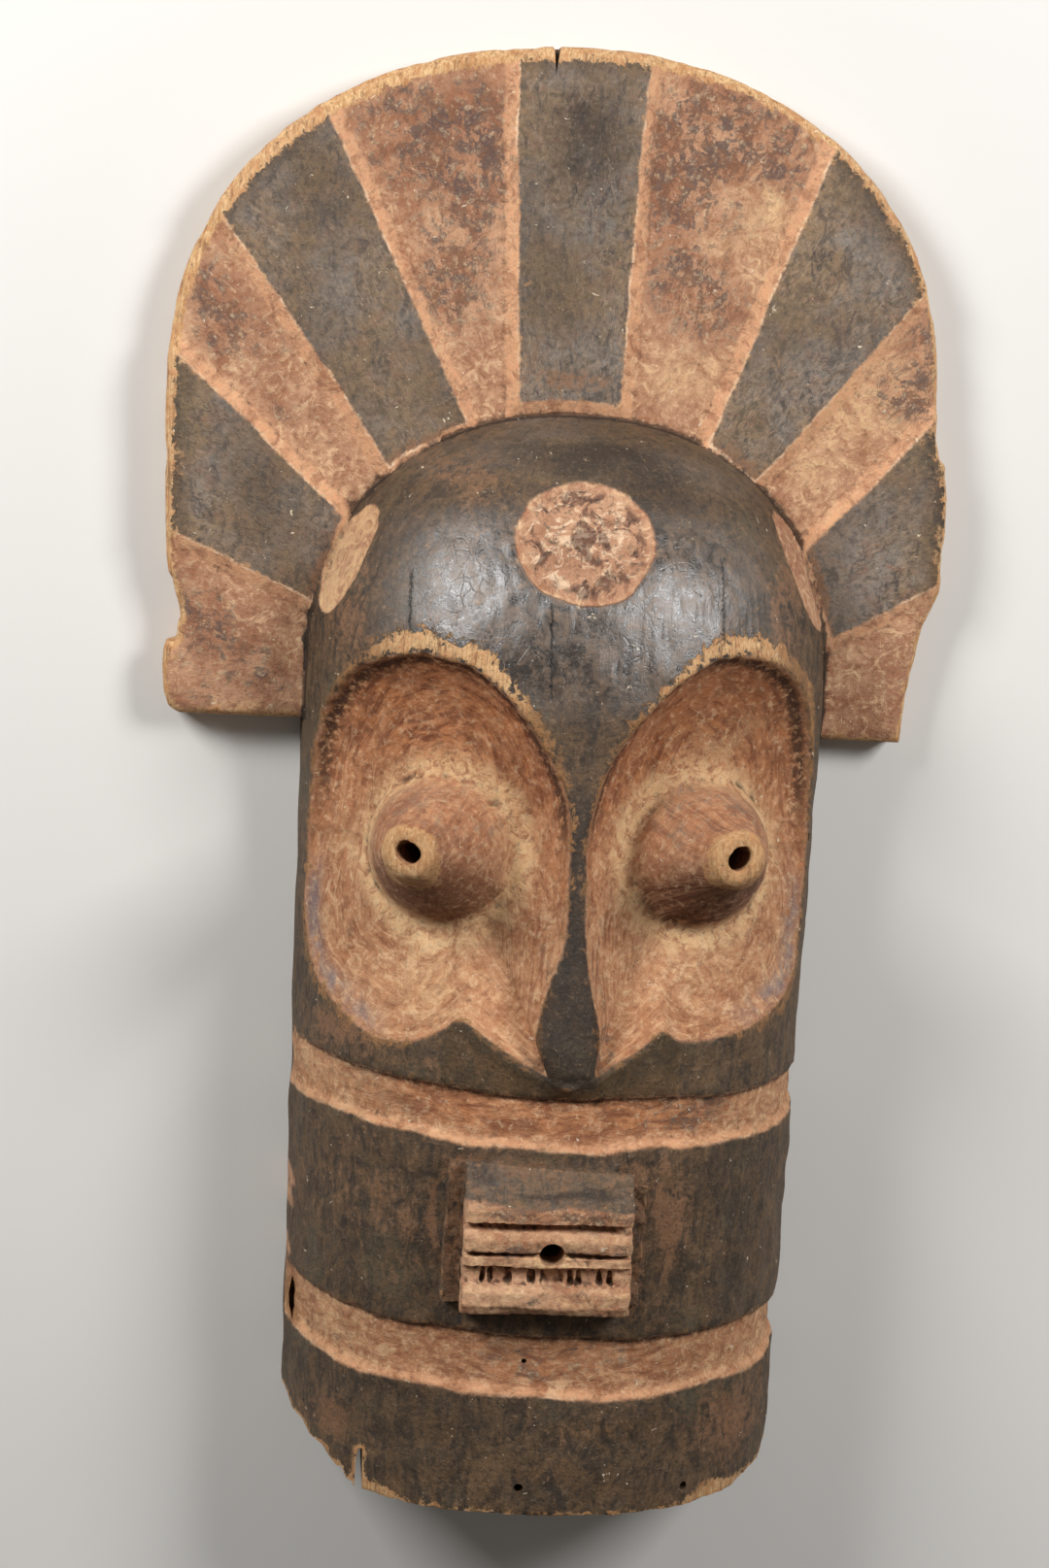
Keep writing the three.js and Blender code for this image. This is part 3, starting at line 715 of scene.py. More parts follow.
def joined(forms):
    alone(forms[0])
    for form in forms:
        form.select_set(True)
    bpy.ops.object.join()
    return forms[0]


bpy.ops.object.select_all(action="DESELECT")
bpy.ops.mesh.primitive_circle_add(vertices=len(MOUTH_PROFILE), radius=0.01, fill_type="NGON")
mouth = bpy.context.object
write_points(mouth, to_row(np.array([(MOUTH_SIDES[0], y, z) for y, z in MOUTH_PROFILE], float)))
draw_out(mouth, MOUTH_SIDES[1] - MOUTH_SIDES[0], 0, 0)
teeth = []
for number, (start, end) in enumerate(TEETH):
    outline = [(start, TEETH_UP), (start + 0.6, TEETH_LOW), (end - 0.5, TEETH_LOW), (end, TEETH_UP)]
    teeth.append(wedge(outline, 120, TEETH_TOP + 1.1 * math.sin(2.3 * number)))
cut_with(mouth, joined(teeth), "UNION")
cut_with(mouth, wedge(MOUTH_FRAME, 104, 120.8), "UNION")
lay_skin(mouth, MOUTH_SKIN)
lips = to_bench(read_points(mouth))
facing = read_normals(mouth)
rough_cut = 0.45 * wobble(lips * np.array([0.5, 1, 1]), 9, 91) + 0.22 * wobble(lips, 3.2, 92)
ends = np.clip(1 - np.minimum(lips[:, 0] - MOUTH_SIDES[0], MOUTH_SIDES[1] - lips[:, 0]) / 5, 0, 1) ** 2
lips -= facing * np.clip(rough_cut, -0.5, 1)[:, None]
lips[:, 2] -= np.where(lips[:, 2] > 122, 1.3 * ends, 0)
lips[:, 1] -= 0.05 * (lips[:, 0] - MOUTH_SIDES[0]) * ramp(lips[:, 1], -194, -182)
write_points(mouth, to_row(lips))
raised = edge_relief(mouth, 12)
# In the mouth the sunk creases count more than twice over, for stronger painted shade and dirt in its
# grooves.
store(mouth, "relief", raised * np.where(raised > 0, 1.1, 2.4))
cut_with(tube, mouth, "UNION")
cut_with(tube, joined(losses), "DIFFERENCE")

# The finished carving in one skin, thinned to what it needs, with its smallest cuts kept. Its
# worn edges are shaded smooth and its sharp ones aren't, and the sawn back is flat.
MOST_TRIANGLES = 192000
alone(tube)
triangles = sum(len(flat.vertices) - 2 for flat in tube.data.polygons)
thin = tube.modifiers.new("thin", "DECIMATE")
thin.ratio = min(1.0, MOST_TRIANGLES / triangles)
bpy.ops.object.modifier_apply(modifier=thin.name)
mask = tube
mask.name = "carved_mask"
bpy.ops.object.shade_smooth_by_angle(angle=math.radians(50))
centres = np.empty(len(mask.data.polygons) * 3, np.float32)
mask.data.polygons.foreach_get("center", centres)
facings = np.empty_like(centres)
mask.data.polygons.foreach_get("normal", facings)
flat_back = (centres[2::3] < 0.0003) & (facings[2::3] < -0.9)
mask.data.polygons.foreach_set("use_smooth", ~flat_back)


# The finish: the whole front was stained black, the low parts were rubbed with ochre earth and
# white clay, and use has worn the edges to bare wood. Each is laid on where it is on the piece.
MID_WALL = (106, 99)
points = to_bench(read_points(mask))
normals = read_normals(mask)
x, y, z = points.T
off = x - TUBE_X
angle = np.arctan2(off, np.maximum(z, 1e-3))
outside = past_arch(x, y, z)
plate = (y > -2) & (z < CREST_THICK + 2) & (outside > 1.02)
inner_share = np.clip((y - DOME_FOOT) / MID_WALL[0], 0, 1)
inner_share = np.maximum((1 - inner_share ** DOME_POWER) ** (1 / DOME_POWER), 1e-3)
inner = ((np.abs(off) / (MID_WALL[0] * inner_share)) ** DOME_POWER
         + (np.maximum(z, 0) / (MID_WALL[1] * inner_share)) ** DOME_POWER < 1)
inner &= normals[:, 0] * off + normals[:, 2] * z + normals[:, 1] * np.maximum(y - DOME_FOOT, 0) < 0
face = ~plate & ~inner & (z > 12)
mouth_box = (x > -48.5) & (x < 42) & (y < -176) & (y > -246.5) & (z > 116)
mouth_block = mouth_box & (x > -41.5) & (x < 36) & (z > 121.5)

# Bare strips over the hollows, their width in mm by the direction from the hollow's heart.
STRIP_WIDTH = {
    "left": [(-180, 1.5), (-140, 4.5), (-112, 3), (-95, 0), (-55, -3), (-30, -2), (-8, 0.8), (20, 1.2),
             (36, 3), (50, 4.5), (60, 5), (70, 9), (82, 11), (92, 9), (101, 11.5), (112, 9), (122, 4),
             (136, 1.8), (150, 1.4), (180, 1)],
    "right": [(-180, 0.4), (-150, -3), (-85, -2), (-64, 3.5), (-45, 5), (-25, 3), (-8, 1.4), (15, 0.6),
              (30, 3), (40, 6.5), (52, 9.5), (64, 7), (76, 10), (88, 9), (98, 5.5), (110, 2.2), (122, 3.2),
              (135, 1.2), (155, 0.4), (180, 0.4)],
}
ochre = np.full(len(points), -30.0)
ochre[plate] = sector_inside(points[plate])
steepness = np.hypot(past_arch(x + 1, y, z) - outside, past_arch(x, y + 1, z) - outside)
from_dome = np.where(plate & (outside < 1.6), (outside - 1) / np.maximum(steepness, 1e-4), 99)
ochre = np.maximum(ochre, 1.6 + 1.2 * wobble(points, 30, 98) - from_dome)
from_top, from_low = band_inside(x, y, points)
ochre[face] = np.maximum(np.minimum(from_top, from_low), spot_inside(points))[face]
hollow_in = np.full(len(points), -60.0)
way = np.zeros(len(points))
strip = np.full(len(points), -30.0)
for side in ("left", "right"):
    _, inside, direction = hollow_place(side, angle, y)
    near = face & (inside > hollow_in)
    hollow_in = np.where(near, inside, hollow_in)
    outward = direction if side == "left" else np.arctan2(np.sin(direction), -np.cos(direction))
    way = np.where(near, outward, way)
    wide = along(STRIP_WIDTH[side], np.degrees(direction))
    strip = np.where(near, np.minimum(-inside + 0.3, wide + inside), strip)
smear = 4.5 * np.exp(-((x - 3) / 22) ** 2 - ((y + 126) / 20) ** 2)
ochre = np.maximum(ochre, np.where(face, hollow_in - smear, -30))

# The crest's rim and feet and the lower rim are worn bare too, by so many mm at each angle
# from straight up.
RIM_WIDTH = [(-180, 2), (-140, 2), (-100, 3), (-60, 5.5), (-30, 7.5), (0, 6.5), (20, 5), (45, 3.5), (70, 2),
             (100, 1.5), (140, 2), (180, 2)]
SIDE_CHIPS = [(-115, -214, 4), (-115, -225, 4), (-115, -248, 3.4)]
inset = np.full(len(points), 99.0)
inset[plate] = edge_distance(points[plate])
lean = np.degrees(np.arctan2(x - CREST_HEART[0], y - CREST_HEART[1]))
rim_width = along(RIM_WIDTH, lean)
wall = plate & (inset < 4) & (normals[:, 2] < 0.6)
strip = np.maximum(strip, np.where(plate & (z > 16), 1.9 * (rim_width - inset), -30))
strip = np.where(wall, 5, strip)
behind = (normals[:, 2] < -0.3) & (z < 30) & (inset > 1.5)
rim_gap = y - RIM_Y + RIM_LEAN * (1 - (1 - np.clip(z / tube_size(y)[1], 0, 1)) ** 2)
rim_bare = 1.2 + 5 * np.exp(-((x + 72) / 9) ** 2) + 7 * np.exp(-((x - 82) / 11) ** 2) + 1.5 * (x > 90)
strip = np.maximum(strip, np.where(~plate & ~inner, 1.6 * (rim_bare - rim_gap), -30))


def gap_to(line):
    """Distance in mm, seen from the front, to a line of points."""
    nearest = np.full(len(points), 99.0)
    for (ax, ay), (bx, by) in zip(line, line[1:]):
        span = (bx - ax) ** 2 + (by - ay) ** 2
        along_line = np.clip(((x - ax) * (bx - ax) + (y - ay) * (by - ay)) / span, 0, 1)
        away = np.hypot(x - ax - along_line * (bx - ax), y - ay - along_line * (by - ay))
        nearest = np.minimum(nearest, away)
    return nearest


broken = np.minimum.reduce([gap_to(LOWER_CORNER), gap_to(SLOT), gap_to(SIDE_SPLIT)])
strip = np.maximum(strip, np.where(~plate & ~inner & (y < -240), 2.2 * (1.6 - broken), -30))
for chip_x, chip_y, size in SIDE_CHIPS:
    ochre = np.maximum(ochre, size - np.hypot((x - chip_x) * 1.2, (y - chip_y) * 0.9))

# The cones: bare at the tip, with pale clay round the foot.
CONE_BARE, CONE_FOOT = 57.6, 34
height, reach = cone_place(points)
beside = face & (reach < 60)
more_bare = np.where(x < 0, 13.0, 6.0) * ramp(-normals[:, 1], 0.1, 0.8)
more_bare += 3.5 * ramp(-normals[:, 0], 0.1, 0.8)
strip = np.maximum(strip, np.where(beside & (height > 20), height - CONE_BARE + more_bare, -30))
foot_gap = np.where(beside & (height < 40), reach - CONE_FOOT, 99)
on_cone = face & (reach < 36) & (height > 3) & (height > 12 - (reach - 25) * 0.7)


def patches(table):
    """Soft patches given as x, y, half width, half height and strength."""
    loose = 4 * np.stack([wobble(points, 26, 81), wobble(points, 26, 82)], 1)
    total = np.zeros(len(points))
    for px, py, wide, high, strength in table:
        gap = ((x + loose[:, 0] - px) / wide) ** 2 + ((y + loose[:, 1] - py) / high) ** 2
        total += strength * np.exp(-gap)
    return total


# The hollows are rust-red in their upper part and along the edge, deepened there as painted shade
# under the brow, with pale clay round the cones' feet. Clay, and dark stains, lie in patches there and on
# the crest.
on_hollow = ramp(hollow_in, 0, 2) * face
upper = ramp(y, -75, 25)
# Partly painted shade: the red deepens toward the brow above and along the hollow's steep edge.
rust_and_shade = on_hollow * np.clip(0.1 + 0.95 * upper - 0.5 * ramp(foot_gap, 14, 0), 0, 1)
rust_and_shade = np.maximum(rust_and_shade, 0.45 * on_cone)
rust_and_shade = np.maximum(rust_and_shade, 0.75 * on_hollow * ramp(hollow_in, 12, 0) * (np.sin(way) > -0.3))
chalk = 1.35 * on_hollow * np.exp(-((foot_gap - 3) / 6) ** 2)
chalk += on_hollow * (0.12 * ramp(-y, 60, 100) + patches([
    (-60, -100, 12, 20, 0.5), (66, -95, 14, 14, 0.2), (-97, -52, 8, 12, 0.6), (70, 8, 16, 6, 0.5),
]))
chalk += plate * patches([
    (78, 238, 8, 8, 1.1), (66, 226, 12, 5, 0.6), (128, 150, 22, 14, 0.7), (108, 128, 10, 10, 0.6),
    (50, 163, 18, 8, 0.6), (-120, 104, 14, 10, 0.4), (88, 190, 6, 24, 0.6), (-30, 190, 3, 40, 0.3),
    (128, 100, 18, 6, 0.6), (-92, 92, 8, 12, 0.5), (-150, 3, 26, 3, 0.8), (138, 168, 22, 16, 0.5),
    (-114, 12, 4, 14, 0.7),
])
chalk += 0.8 * face * (spot_inside(points) > 0) * (x < -50)
stain = patches([
    (-75, 262, 46, 26, 0.85), (-48, 258, 22, 34, 0.7), (-58, 200, 20, 34, 0.75), (64, 268, 46, 24, 1.5),
    (40, 240, 18, 40, 0.8), (62, 200, 24, 26, 0.75), (152, 205, 20, 22, 0.8), (-150, 172, 24, 20, 0.65),
    (-128, 140, 16, 12, 0.6), (-165, 40, 14, 26, 0.95), (-140, 24, 18, 16, 0.75), (150, 160, 18, 14, 0.8),
    (-163, 190, 12, 24, 0.8), (165, 170, 10, 26, 0.9),
]) * plate
stain += np.where(x < 0, 0.3, 0.4) * on_cone * ramp(normals[:, 1], 0.0, 0.5)
stain += 0.22 * on_hollow * np.clip(wobble(points, 30, 97), 0, 1) * ramp(-y, 50, 80)
stain += on_hollow * patches([(-13, -132, 6, 12, 0.5), (19, -128, 8, 18, 0.7), (-8, -95, 5, 18, 0.5),
                              (14, -92, 4, 18, 0.5)])

# A trace of blue low in the hollows, and painted shade under the cones, round their feet and high in the
# right hollow.
blue = on_hollow * np.exp(-((hollow_in - 5.5) / 5) ** 2) * ramp(-y, 45, 80) * ramp(-np.cos(way), 0.2, 0.6)
painted_hollow_shade = on_hollow * ramp(normals[:, 1], 0.12, -0.45) * on_cone
painted_hollow_shade = np.maximum(painted_hollow_shade, 0.5 * on_hollow * ramp(y, -20, -60) * np.exp(-((foot_gap + 5) / 4) ** 2))
painted_hollow_shade *= np.where(x < 0, 0.75, 1.0)
painted_hollow_shade = np.maximum(painted_hollow_shade, 0.38 * (x > 0) * ramp(y, -30, 30) * on_hollow * ramp(foot_gap, 2, 16))

# The sloping sides of the sectors, cleaner and paler as a painted highlight, and the pale lower edge of the
# bands, a painted highlight.
slope_highlight_and_clean = ramp(ochre, SLOPE + 1.5, SLOPE - 1.5) * plate
stain *= 1 - 0.5 * slope_highlight_and_clean * (ochre > -1)
band_bevel_highlight = np.exp(-((from_low - 2.0) / 1.7) ** 2) * face
chalk = np.clip(chalk, 0, 1.1)

# The black parts: polished on the dome, darkest on the nose and the crest's upper middle, dusty
# on the rest of the crest, olive under the nose and rubbed brown where hands have held it.
polish = ramp(np.hypot(x * 0.9, y - 58), 100, 50) * ramp(y, 5, 40) * face
polish *= ramp(y, 118, 92)
dark = 0.75 * ramp(y, 10, -30) * ramp(np.abs(x - 3), 16, 11) * (y > -144) * face
dark += patches([
    (0, 268, 24, 26, 0.7), (0, 215, 24, 40, 0.3), (30, 112, 30, 12, 0.6), (6, 128, 36, 9, 0.9),
    (90, -210, 12, 50, 0.5), (-60, -310, 30, 20, 0.4), (-20, -240, 60, 12, 0.3),
])
dust = ramp(inset, 2, 16) * plate + 0.5 * ramp(y, 105, 128) * face
dust *= 0.75 + 0.35 * wobble(points, 40, 95)
olive = ramp(along(CHEVRON, x) - y, 0, 1.5) * (y > -149.5) * (np.abs(x) < 52) * face * (ochre < 1)
brown = patches([
    (52, -208, 9, 30, 1.0), (-88, -312, 12, 9, 1.4), (-51, -208, 3, 26, 1.2), (-90, -200, 14, 26, 0.4),
    (0, -185, 30, 6, 0.4), (20, -300, 26, 8, 0.35), (-60, 122, 34, 12, 0.35), (-98, 60, 9, 34, 0.6),
    (-66, -215, 12, 30, 0.5), (-46, 116, 20, 12, 0.3), (92, 66, 8, 30, 0.7), (90, -305, 20, 18, 0.9),
    (-92, -132, 16, 7, 1.1), (-60, -141, 18, 5, 0.5),
]) * face
brown += plate * (0.9 * ramp(from_dome, 9, 1) + patches([(-2, 158, 20, 9, 0.8)]))

# The bands: a painted shadow, partly soot, under their upper edge, stained and rusty in their lower
# part, and paler at both ends. The front spot has marks of its own. Bare wood has browned with age,
# but not on the crest, over the brows and at the cones' tips.
in_band = face & (np.minimum(from_top, from_low) > 0)
# Painted shadow, partly soot: the upper part of the hollows under the brow and the top edge of the bands.
brow = np.maximum(on_hollow * ramp(np.sin(way), -0.1, 0.45), 0.9 * in_band * ramp(from_top, 3.2, 1))
chalk += in_band * (0.3 * ramp(-x, 55, 92) + 0.2 * ramp(x, 40, 80))
rust_and_shade += np.where(y > -215, 0.75, 0.35) * in_band * ramp(from_low, 4, 9) * ramp(np.abs(x), 110, 50)
stain += in_band * np.clip(0.15 + 0.35 * wobble(points, 40, 96), 0, 1) * ramp(from_low, 4, 9)
in_spot = spot_inside(points) * face * (y > 40)
spot = ramp(in_spot, 2.5, 5) * (np.abs(x) < 50)
aged = 1 - np.maximum.reduce([ramp(np.sin(way), 0.86, 0.97) * (y > 15), (plate & (y > 0)).astype(float),
                              ramp(height, 40, 50) * beside])
aged = np.maximum(aged, 0.35 * beside) * (1 - 0.8 * ramp(-y, 285, 310))

# The way the brush went, as two distances in mm: down the face and out along the crest, but
# along the bands and the mouth, and round and round in the hollows.
strokes_of = [
    (True, angle * ARCH_ARC, y),
    (plate, np.arctan2(x, y - 20) * 170, np.hypot(x, y - 20)),
    (in_band, y, angle * ARCH_ARC),
    (face & (hollow_in > 0) & ~in_band, hollow_in, way * 62),
    (mouth_box, y, x),
]
across, lengthwise = y, y
for where, over, on in strokes_of:
    across, lengthwise = np.where(where, over, across), np.where(where, on, lengthwise)

# The mouth: ochre lips and teeth in a black frame, with clay on the highest parts and round the
# hole, and rust and dark stains on the lips.
ochre[mouth_box] = -8
lip_line = -194.8 + 0.9 * np.sin(x / 7) - 0.02 * x
ochre[mouth_block] = np.minimum(lip_line - y, z - 122)[mouth_block]
strip[mouth_box] = -30
round_hole = np.exp(-((np.hypot(x + 1, y + 216) - 7.2) / 1.6) ** 2) * ramp(y, -212, -217)
chalk[mouth_block] = (0.4 * ramp(z, 132.5, 136.5) + round_hole)[mouth_block]
aged[mouth_box] = 0.3
rust_on_lips = 0.3 * ramp(y, -207, -203) + patches([(-4, -211, 30, 5, 0.5), (8, -238, 20, 4, 0.4)])
rust_and_shade[mouth_block] = rust_on_lips[mouth_block]
stain[mouth_block] = patches([
    (0, -199, 27, 4.5, 2.0), (-14, -240, 12, 4, 0.8), (14, -238, 14, 4, 0.7), (-8, -212, 24, 3.5, 0.8),
    (24, -212, 7, 4, 0.6), (-4, -226, 40, 3.5, 0.3),
])[mouth_block]
brown[mouth_box] = np.where(mouth_block, 0.35, 0.6)[mouth_box]
dark[mouth_block] = patches([
    (16, -190.5, 16, 3.5, 1.1), (-34, -187, 6, 4, 0.7), (-8, -191, 14, 2, 0.6),
])[mouth_block]
dust[mouth_block] = 0.3
finishes = {
    "ochre": np.clip(ochre, -30, 30), "strip": np.clip(strip, -30, 30), "inside": inner | behind,
    "stain": stain, "chalk": chalk, "rust_and_shade": rust_and_shade, "blue": blue, "polish": polish, "dust": dust,
    "hollow_shade_painted": painted_hollow_shade, "olive": olive, "brown": brown, "dark": dark, "brow": brow, "spot": spot,
    "bed": np.maximum(on_hollow * (1 - 0.75 * on_cone), 0.9 * in_band), "aged": aged,
    "slope_highlight_and_clean": np.maximum(slope_highlight_and_clean, band_bevel_highlight), "round": ramp(in_spot, -5, -2),
    "across": across, "along": lengthwise,
}
for name, values in finishes.items():
    store(mask, name, values)

wood = bpy.data.materials.new("carved_wood_painted")
wood.use_nodes = True
tree = wood.node_tree
tree.nodes.clear()


def add(kind, inputs=None, out=0, **settings):
    node = tree.nodes.new(kind)
    for key, value in settings.items():
        setattr(node, key, value)
    for socket, value in (inputs or {}).items():
        if isinstance(value, bpy.types.NodeSocket):
            tree.links.new(value, node.inputs[socket])
        else:
            node.inputs[socket].default_value = value
    return node if out is None else node.outputs[out]


def calc(kind, a, b=0.0, c=0.0, clamp=False):
    return add("ShaderNodeMath", {0: a, 1: b, 2: c}, operation=kind, use_clamp=clamp)


def plus(*parts):
    total = parts[0]
    for part in parts[1:]:
        total = calc("ADD", total, part)
    return total


def times(*parts):
    total = parts[0]
    for part in parts[1:]:
        total = calc("MULTIPLY", total, part)
    return total


def rise(value, low, high, to_low=0.0, to_high=1.0):
    return add("ShaderNodeMapRange", {"Value": value, "From Min": low, "From Max": high, "To Min": to_low,
                                      "To Max": to_high}, interpolation_type="SMOOTHSTEP")


def swing(noise, amount, reach=0.2):
    """Up to amount either way, as the noise goes from low to high around its middle."""
    return rise(noise, 0.5 - reach, 0.5 + reach, -amount, amount)


def field(name):
    return add("ShaderNodeAttribute", out="Fac", attribute_name=name)


def tone(red, green, blue):
    """A colour as it looks to the eye, each part 0 to 255."""
    parts = [c / 255 for c in (red, green, blue)]
    return tuple(c / 12.92 if c < 0.04045 else ((c + 0.055) / 1.055) ** 2.4 for c in parts) + (1.0,)


def blend(share, under, over):
    mixer = tree.nodes.new("ShaderNodeMix")
    mixer.data_type = "RGBA"
    for socket, value in ((0, share), (6, under), (7, over)):
        if isinstance(value, bpy.types.NodeSocket):
            tree.links.new(value, mixer.inputs[socket])
        else:
            mixer.inputs[socket].default_value = value
    return mixer.outputs[2]


def coats(under, *layers):
    """Lays coats over one another, each given as how much of it shows and its colour."""
    for share, over in layers:
        under = blend(share, under, over)
    return under


place = add("ShaderNodeTexCoord", out="Object")
millimetres = add("ShaderNodeVectorMath", {0: place, "Scale": 1000.0}, operation="SCALE")
bench_place = add("ShaderNodeVectorMath", {0: millimetres, 1: tuple(BENCH)}, operation="SUBTRACT")
parted = add("ShaderNodeSeparateXYZ", {0: bench_place}, out=None)
bench_x, bench_y, bench_z = (parted.outputs[axis] for axis in "XYZ")
stroke_place = add("ShaderNodeCombineXYZ", {"X": field("across"), "Y": field("along")})


def grain(size, stretch=(1, 1, 1), detail=5.0, rough=0.6, warp=0.0, shift=0.0, source=millimetres):
    """Uneven patches about size mm across, drawn out by stretch, with 0.5 as their middle."""
    spread = add("ShaderNodeMapping", {"Vector": source, "Location": (shift, shift * 1.7, shift * 0.6),
                                       "Scale": tuple(1 / (size * part) for part in stretch)})
    return add("ShaderNodeTexNoise", {"Vector": spread, "Scale": 1.0, "Detail": detail, "Roughness": rough,
                                      "Distortion": warp})


coarse = grain(46, detail=7, rough=0.65)
middle = grain(14, detail=8, rough=0.7, warp=0.8, shift=13)
blots = grain(9, detail=8, rough=0.72, warp=1.4, shift=52)
other_blots = grain(11, detail=8, rough=0.7, warp=1.0, shift=71)
fine = grain(3.6, detail=6, rough=0.72, shift=5)
fibres = grain(1.0, (1, 12, 1), detail=4, rough=0.65, warp=0.3)
streaks = grain(7, (1, 2.2, 1), detail=8, rough=0.72, warp=1.2, shift=40)
long_streaks = grain(2.2, (1, 8, 1), detail=5, rough=0.65, warp=0.4, shift=61)
specks = grain(1.9, detail=4, rough=0.7, warp=0.6, shift=80)
strokes = grain(1.4, (1, 4, 1), detail=5, rough=0.7, warp=1.2, source=stroke_place)
long_strokes = grain(4.5, (1, 3.5, 1), detail=6, rough=0.68, warp=1.0, shift=33, source=stroke_place)


def hairline(top, bottom):
    """A fine drying crack down the grain from top to bottom, each (x, y) in mm."""
    slant = (bottom[0] - top[0]) / (bottom[1] - top[1])
    centre = plus(times(plus(bench_y, -top[1]), slant), top[0], swing(fine, 1.0, 0.3))
    away = calc("ABSOLUTE", calc("SUBTRACT", bench_x, centre))
    ends = times(rise(bench_y, top[1] + 2, top[1] - 3), rise(bench_y, bottom[1] - 2, bottom[1] + 3))
    return times(rise(away, 0.6, 0.15), ends, rise(bench_z, 85, 90), rise(middle, 0.35, 0.5, 0.4, 1.0))


cracks = plus(hairline((-74, 75), (-74, 50)), hairline((-14.5, 66), (-13, 25)),
              hairline((61, 87), (62, 50)))

# Where the ochre ends and the wood shows bare: the edges fray along the grain and the brush.
fray = rise(field("round"), 0, 1, 0.85, 0.35)
frayed = plus(field("ochre"), times(plus(swing(fine, 1.1, 0.25), swing(middle, 0.9)), fray))
painted = rise(frayed, -0.95, 0.95)
torn = plus(field("strip"), swing(fibres, 0.6, 0.25), swing(fine, 2.4, 0.25), swing(blots, 3.2),
            swing(long_streaks, 0.9))
bare = times(rise(torn, -0.6, 1.2), rise(field("aged"), 0, 1, 1.0, 0.75))
relief = field("relief")
worn = times(rise(plus(relief, swing(fine, 0.5, 0.25), swing(blots, 0.4)), 0.5, 1.1), 0.75)
# Painted shade and dirt: the colour darkens where the surface sinks into creases and recesses.
crease_shade_and_dirt = rise(plus(relief, swing(fine, 0.25, 0.3)), -0.25, -0.95)
pepper = times(rise(specks, 0.57, 0.68), rise(middle, 0.44, 0.58))

# The coats, each from its first layer up: bare wood, ochre earth, the black stain, and the raw
# wood of the back and inside.
bare_wood = coats(
    blend(rise(fibres, 0.3, 0.7), tone(226, 190, 142), tone(178, 134, 88)),
    (times(rise(blots, 0.4, 0.66), 0.75), tone(176, 118, 74)),
    (times(rise(long_streaks, 0.52, 0.68), 0.7), tone(112, 78, 52)),
    (field("aged"), blend(rise(fine, 0.35, 0.65), tone(178, 128, 78), tone(118, 84, 54))),
    (times(pepper, 0.7), tone(84, 60, 44)),
)

uneven = plus(1.0, swing(blots, 0.6, 0.16), swing(fine, 0.8, 0.16), swing(middle, 0.5, 0.12),
              swing(long_strokes, 0.5, 0.16))
dirty = times(field("stain"), uneven)
# A dark edge just inside the ochre under the brows and the bands' upper edge: painted shadow, partly soot.
edge_shadow_and_soot = times(rise(plus(field("ochre"), swing(specks, 2.2)), -0.6, 0.8),
                  rise(plus(field("ochre"), swing(fine, 2.5)), 6.5, 2.0), field("brow"))
spot_marks = plus(rise(other_blots, 0.48, 0.56), rise(fine, 0.52, 0.62))
earth = coats(
    blend(rise(coarse, 0.38, 0.62), tone(190, 146, 114), tone(164, 118, 90)),
    (times(rise(other_blots, 0.46, 0.62), 0.7), tone(148, 96, 68)),
    (times(field("bed"), 0.4), tone(186, 126, 80)),
    (times(rise(blots, 0.5, 0.64), 0.7), tone(224, 186, 146)),
    (times(rise(long_strokes, 0.5, 0.64), field("bed"), 0.75), tone(134, 80, 52)),
    (times(rise(long_strokes, 0.45, 0.32), field("bed"), 0.6), tone(228, 190, 150)),
    (times(rise(middle, 0.52, 0.64), field("bed"), 0.6), tone(146, 92, 62)),
    (times(rise(strokes, 0.54, 0.68), 0.18), tone(230, 190, 148)),
    (times(rise(strokes, 0.46, 0.34), 0.35), tone(124, 76, 50)),
    (times(field("rust_and_shade"), rise(middle, 0.72, 0.3, 0.35, 0.95)),
     blend(rise(long_strokes, 0.4, 0.6), tone(184, 116, 70), tone(112, 58, 30))),
    (times(field("chalk"), rise(blots, 0.4, 0.54, 0.1, 1.0), 0.85),
     blend(rise(fine, 0.4, 0.6), tone(232, 196, 150), tone(204, 160, 114))),
    # Painted highlight: the sloping sides of the sectors and the bands' lower bevels are painted paler.
    (times(field("slope_highlight_and_clean"), rise(other_blots, 0.62, 0.42, 0.1, 0.8)),
     blend(rise(fine, 0.35, 0.6), tone(232, 182, 140), tone(210, 150, 110))),
    (times(field("blue"), rise(middle, 0.34, 0.6), 0.8), tone(118, 112, 116)),
    (times(rise(dirty, 0.2, 1.15), 0.88),
     blend(rise(other_blots, 0.42, 0.58), tone(82, 67, 64), tone(118, 80, 60))),
    # Painted shade: dark brown under the cones, round their feet and high in the right hollow.
    (times(field("hollow_shade_painted"), rise(long_strokes, 0.66, 0.4, 0.2, 0.95)), tone(80, 41, 20)),
    (times(edge_shadow_and_soot, 0.9), tone(46, 30, 22)),
    # Painted shade and highlight on the fine grain that also raises the bump: darker in its pits, paler on
    # its tops.
    (times(rise(fine, 0.5, 0.34), 0.45), tone(112, 74, 52)),
    (times(rise(fine, 0.52, 0.68), 0.4), tone(234, 204, 164)),
    (times(pepper, 0.6), tone(92, 60, 46)),
    (times(field("spot"), rise(blots, 0.5, 0.6), 0.6), tone(228, 200, 170)),
    (times(field("spot"), spot_marks, 0.65), tone(78, 58, 50)),
)
# A broken pale line along the top of each slope: partly worn paint, partly a painted highlight.
arris = times(rise(calc("ABSOLUTE", plus(frayed, -0.3)), 0.9, 0.2), field("slope_highlight_and_clean"), rise(blots, 0.42, 0.56))

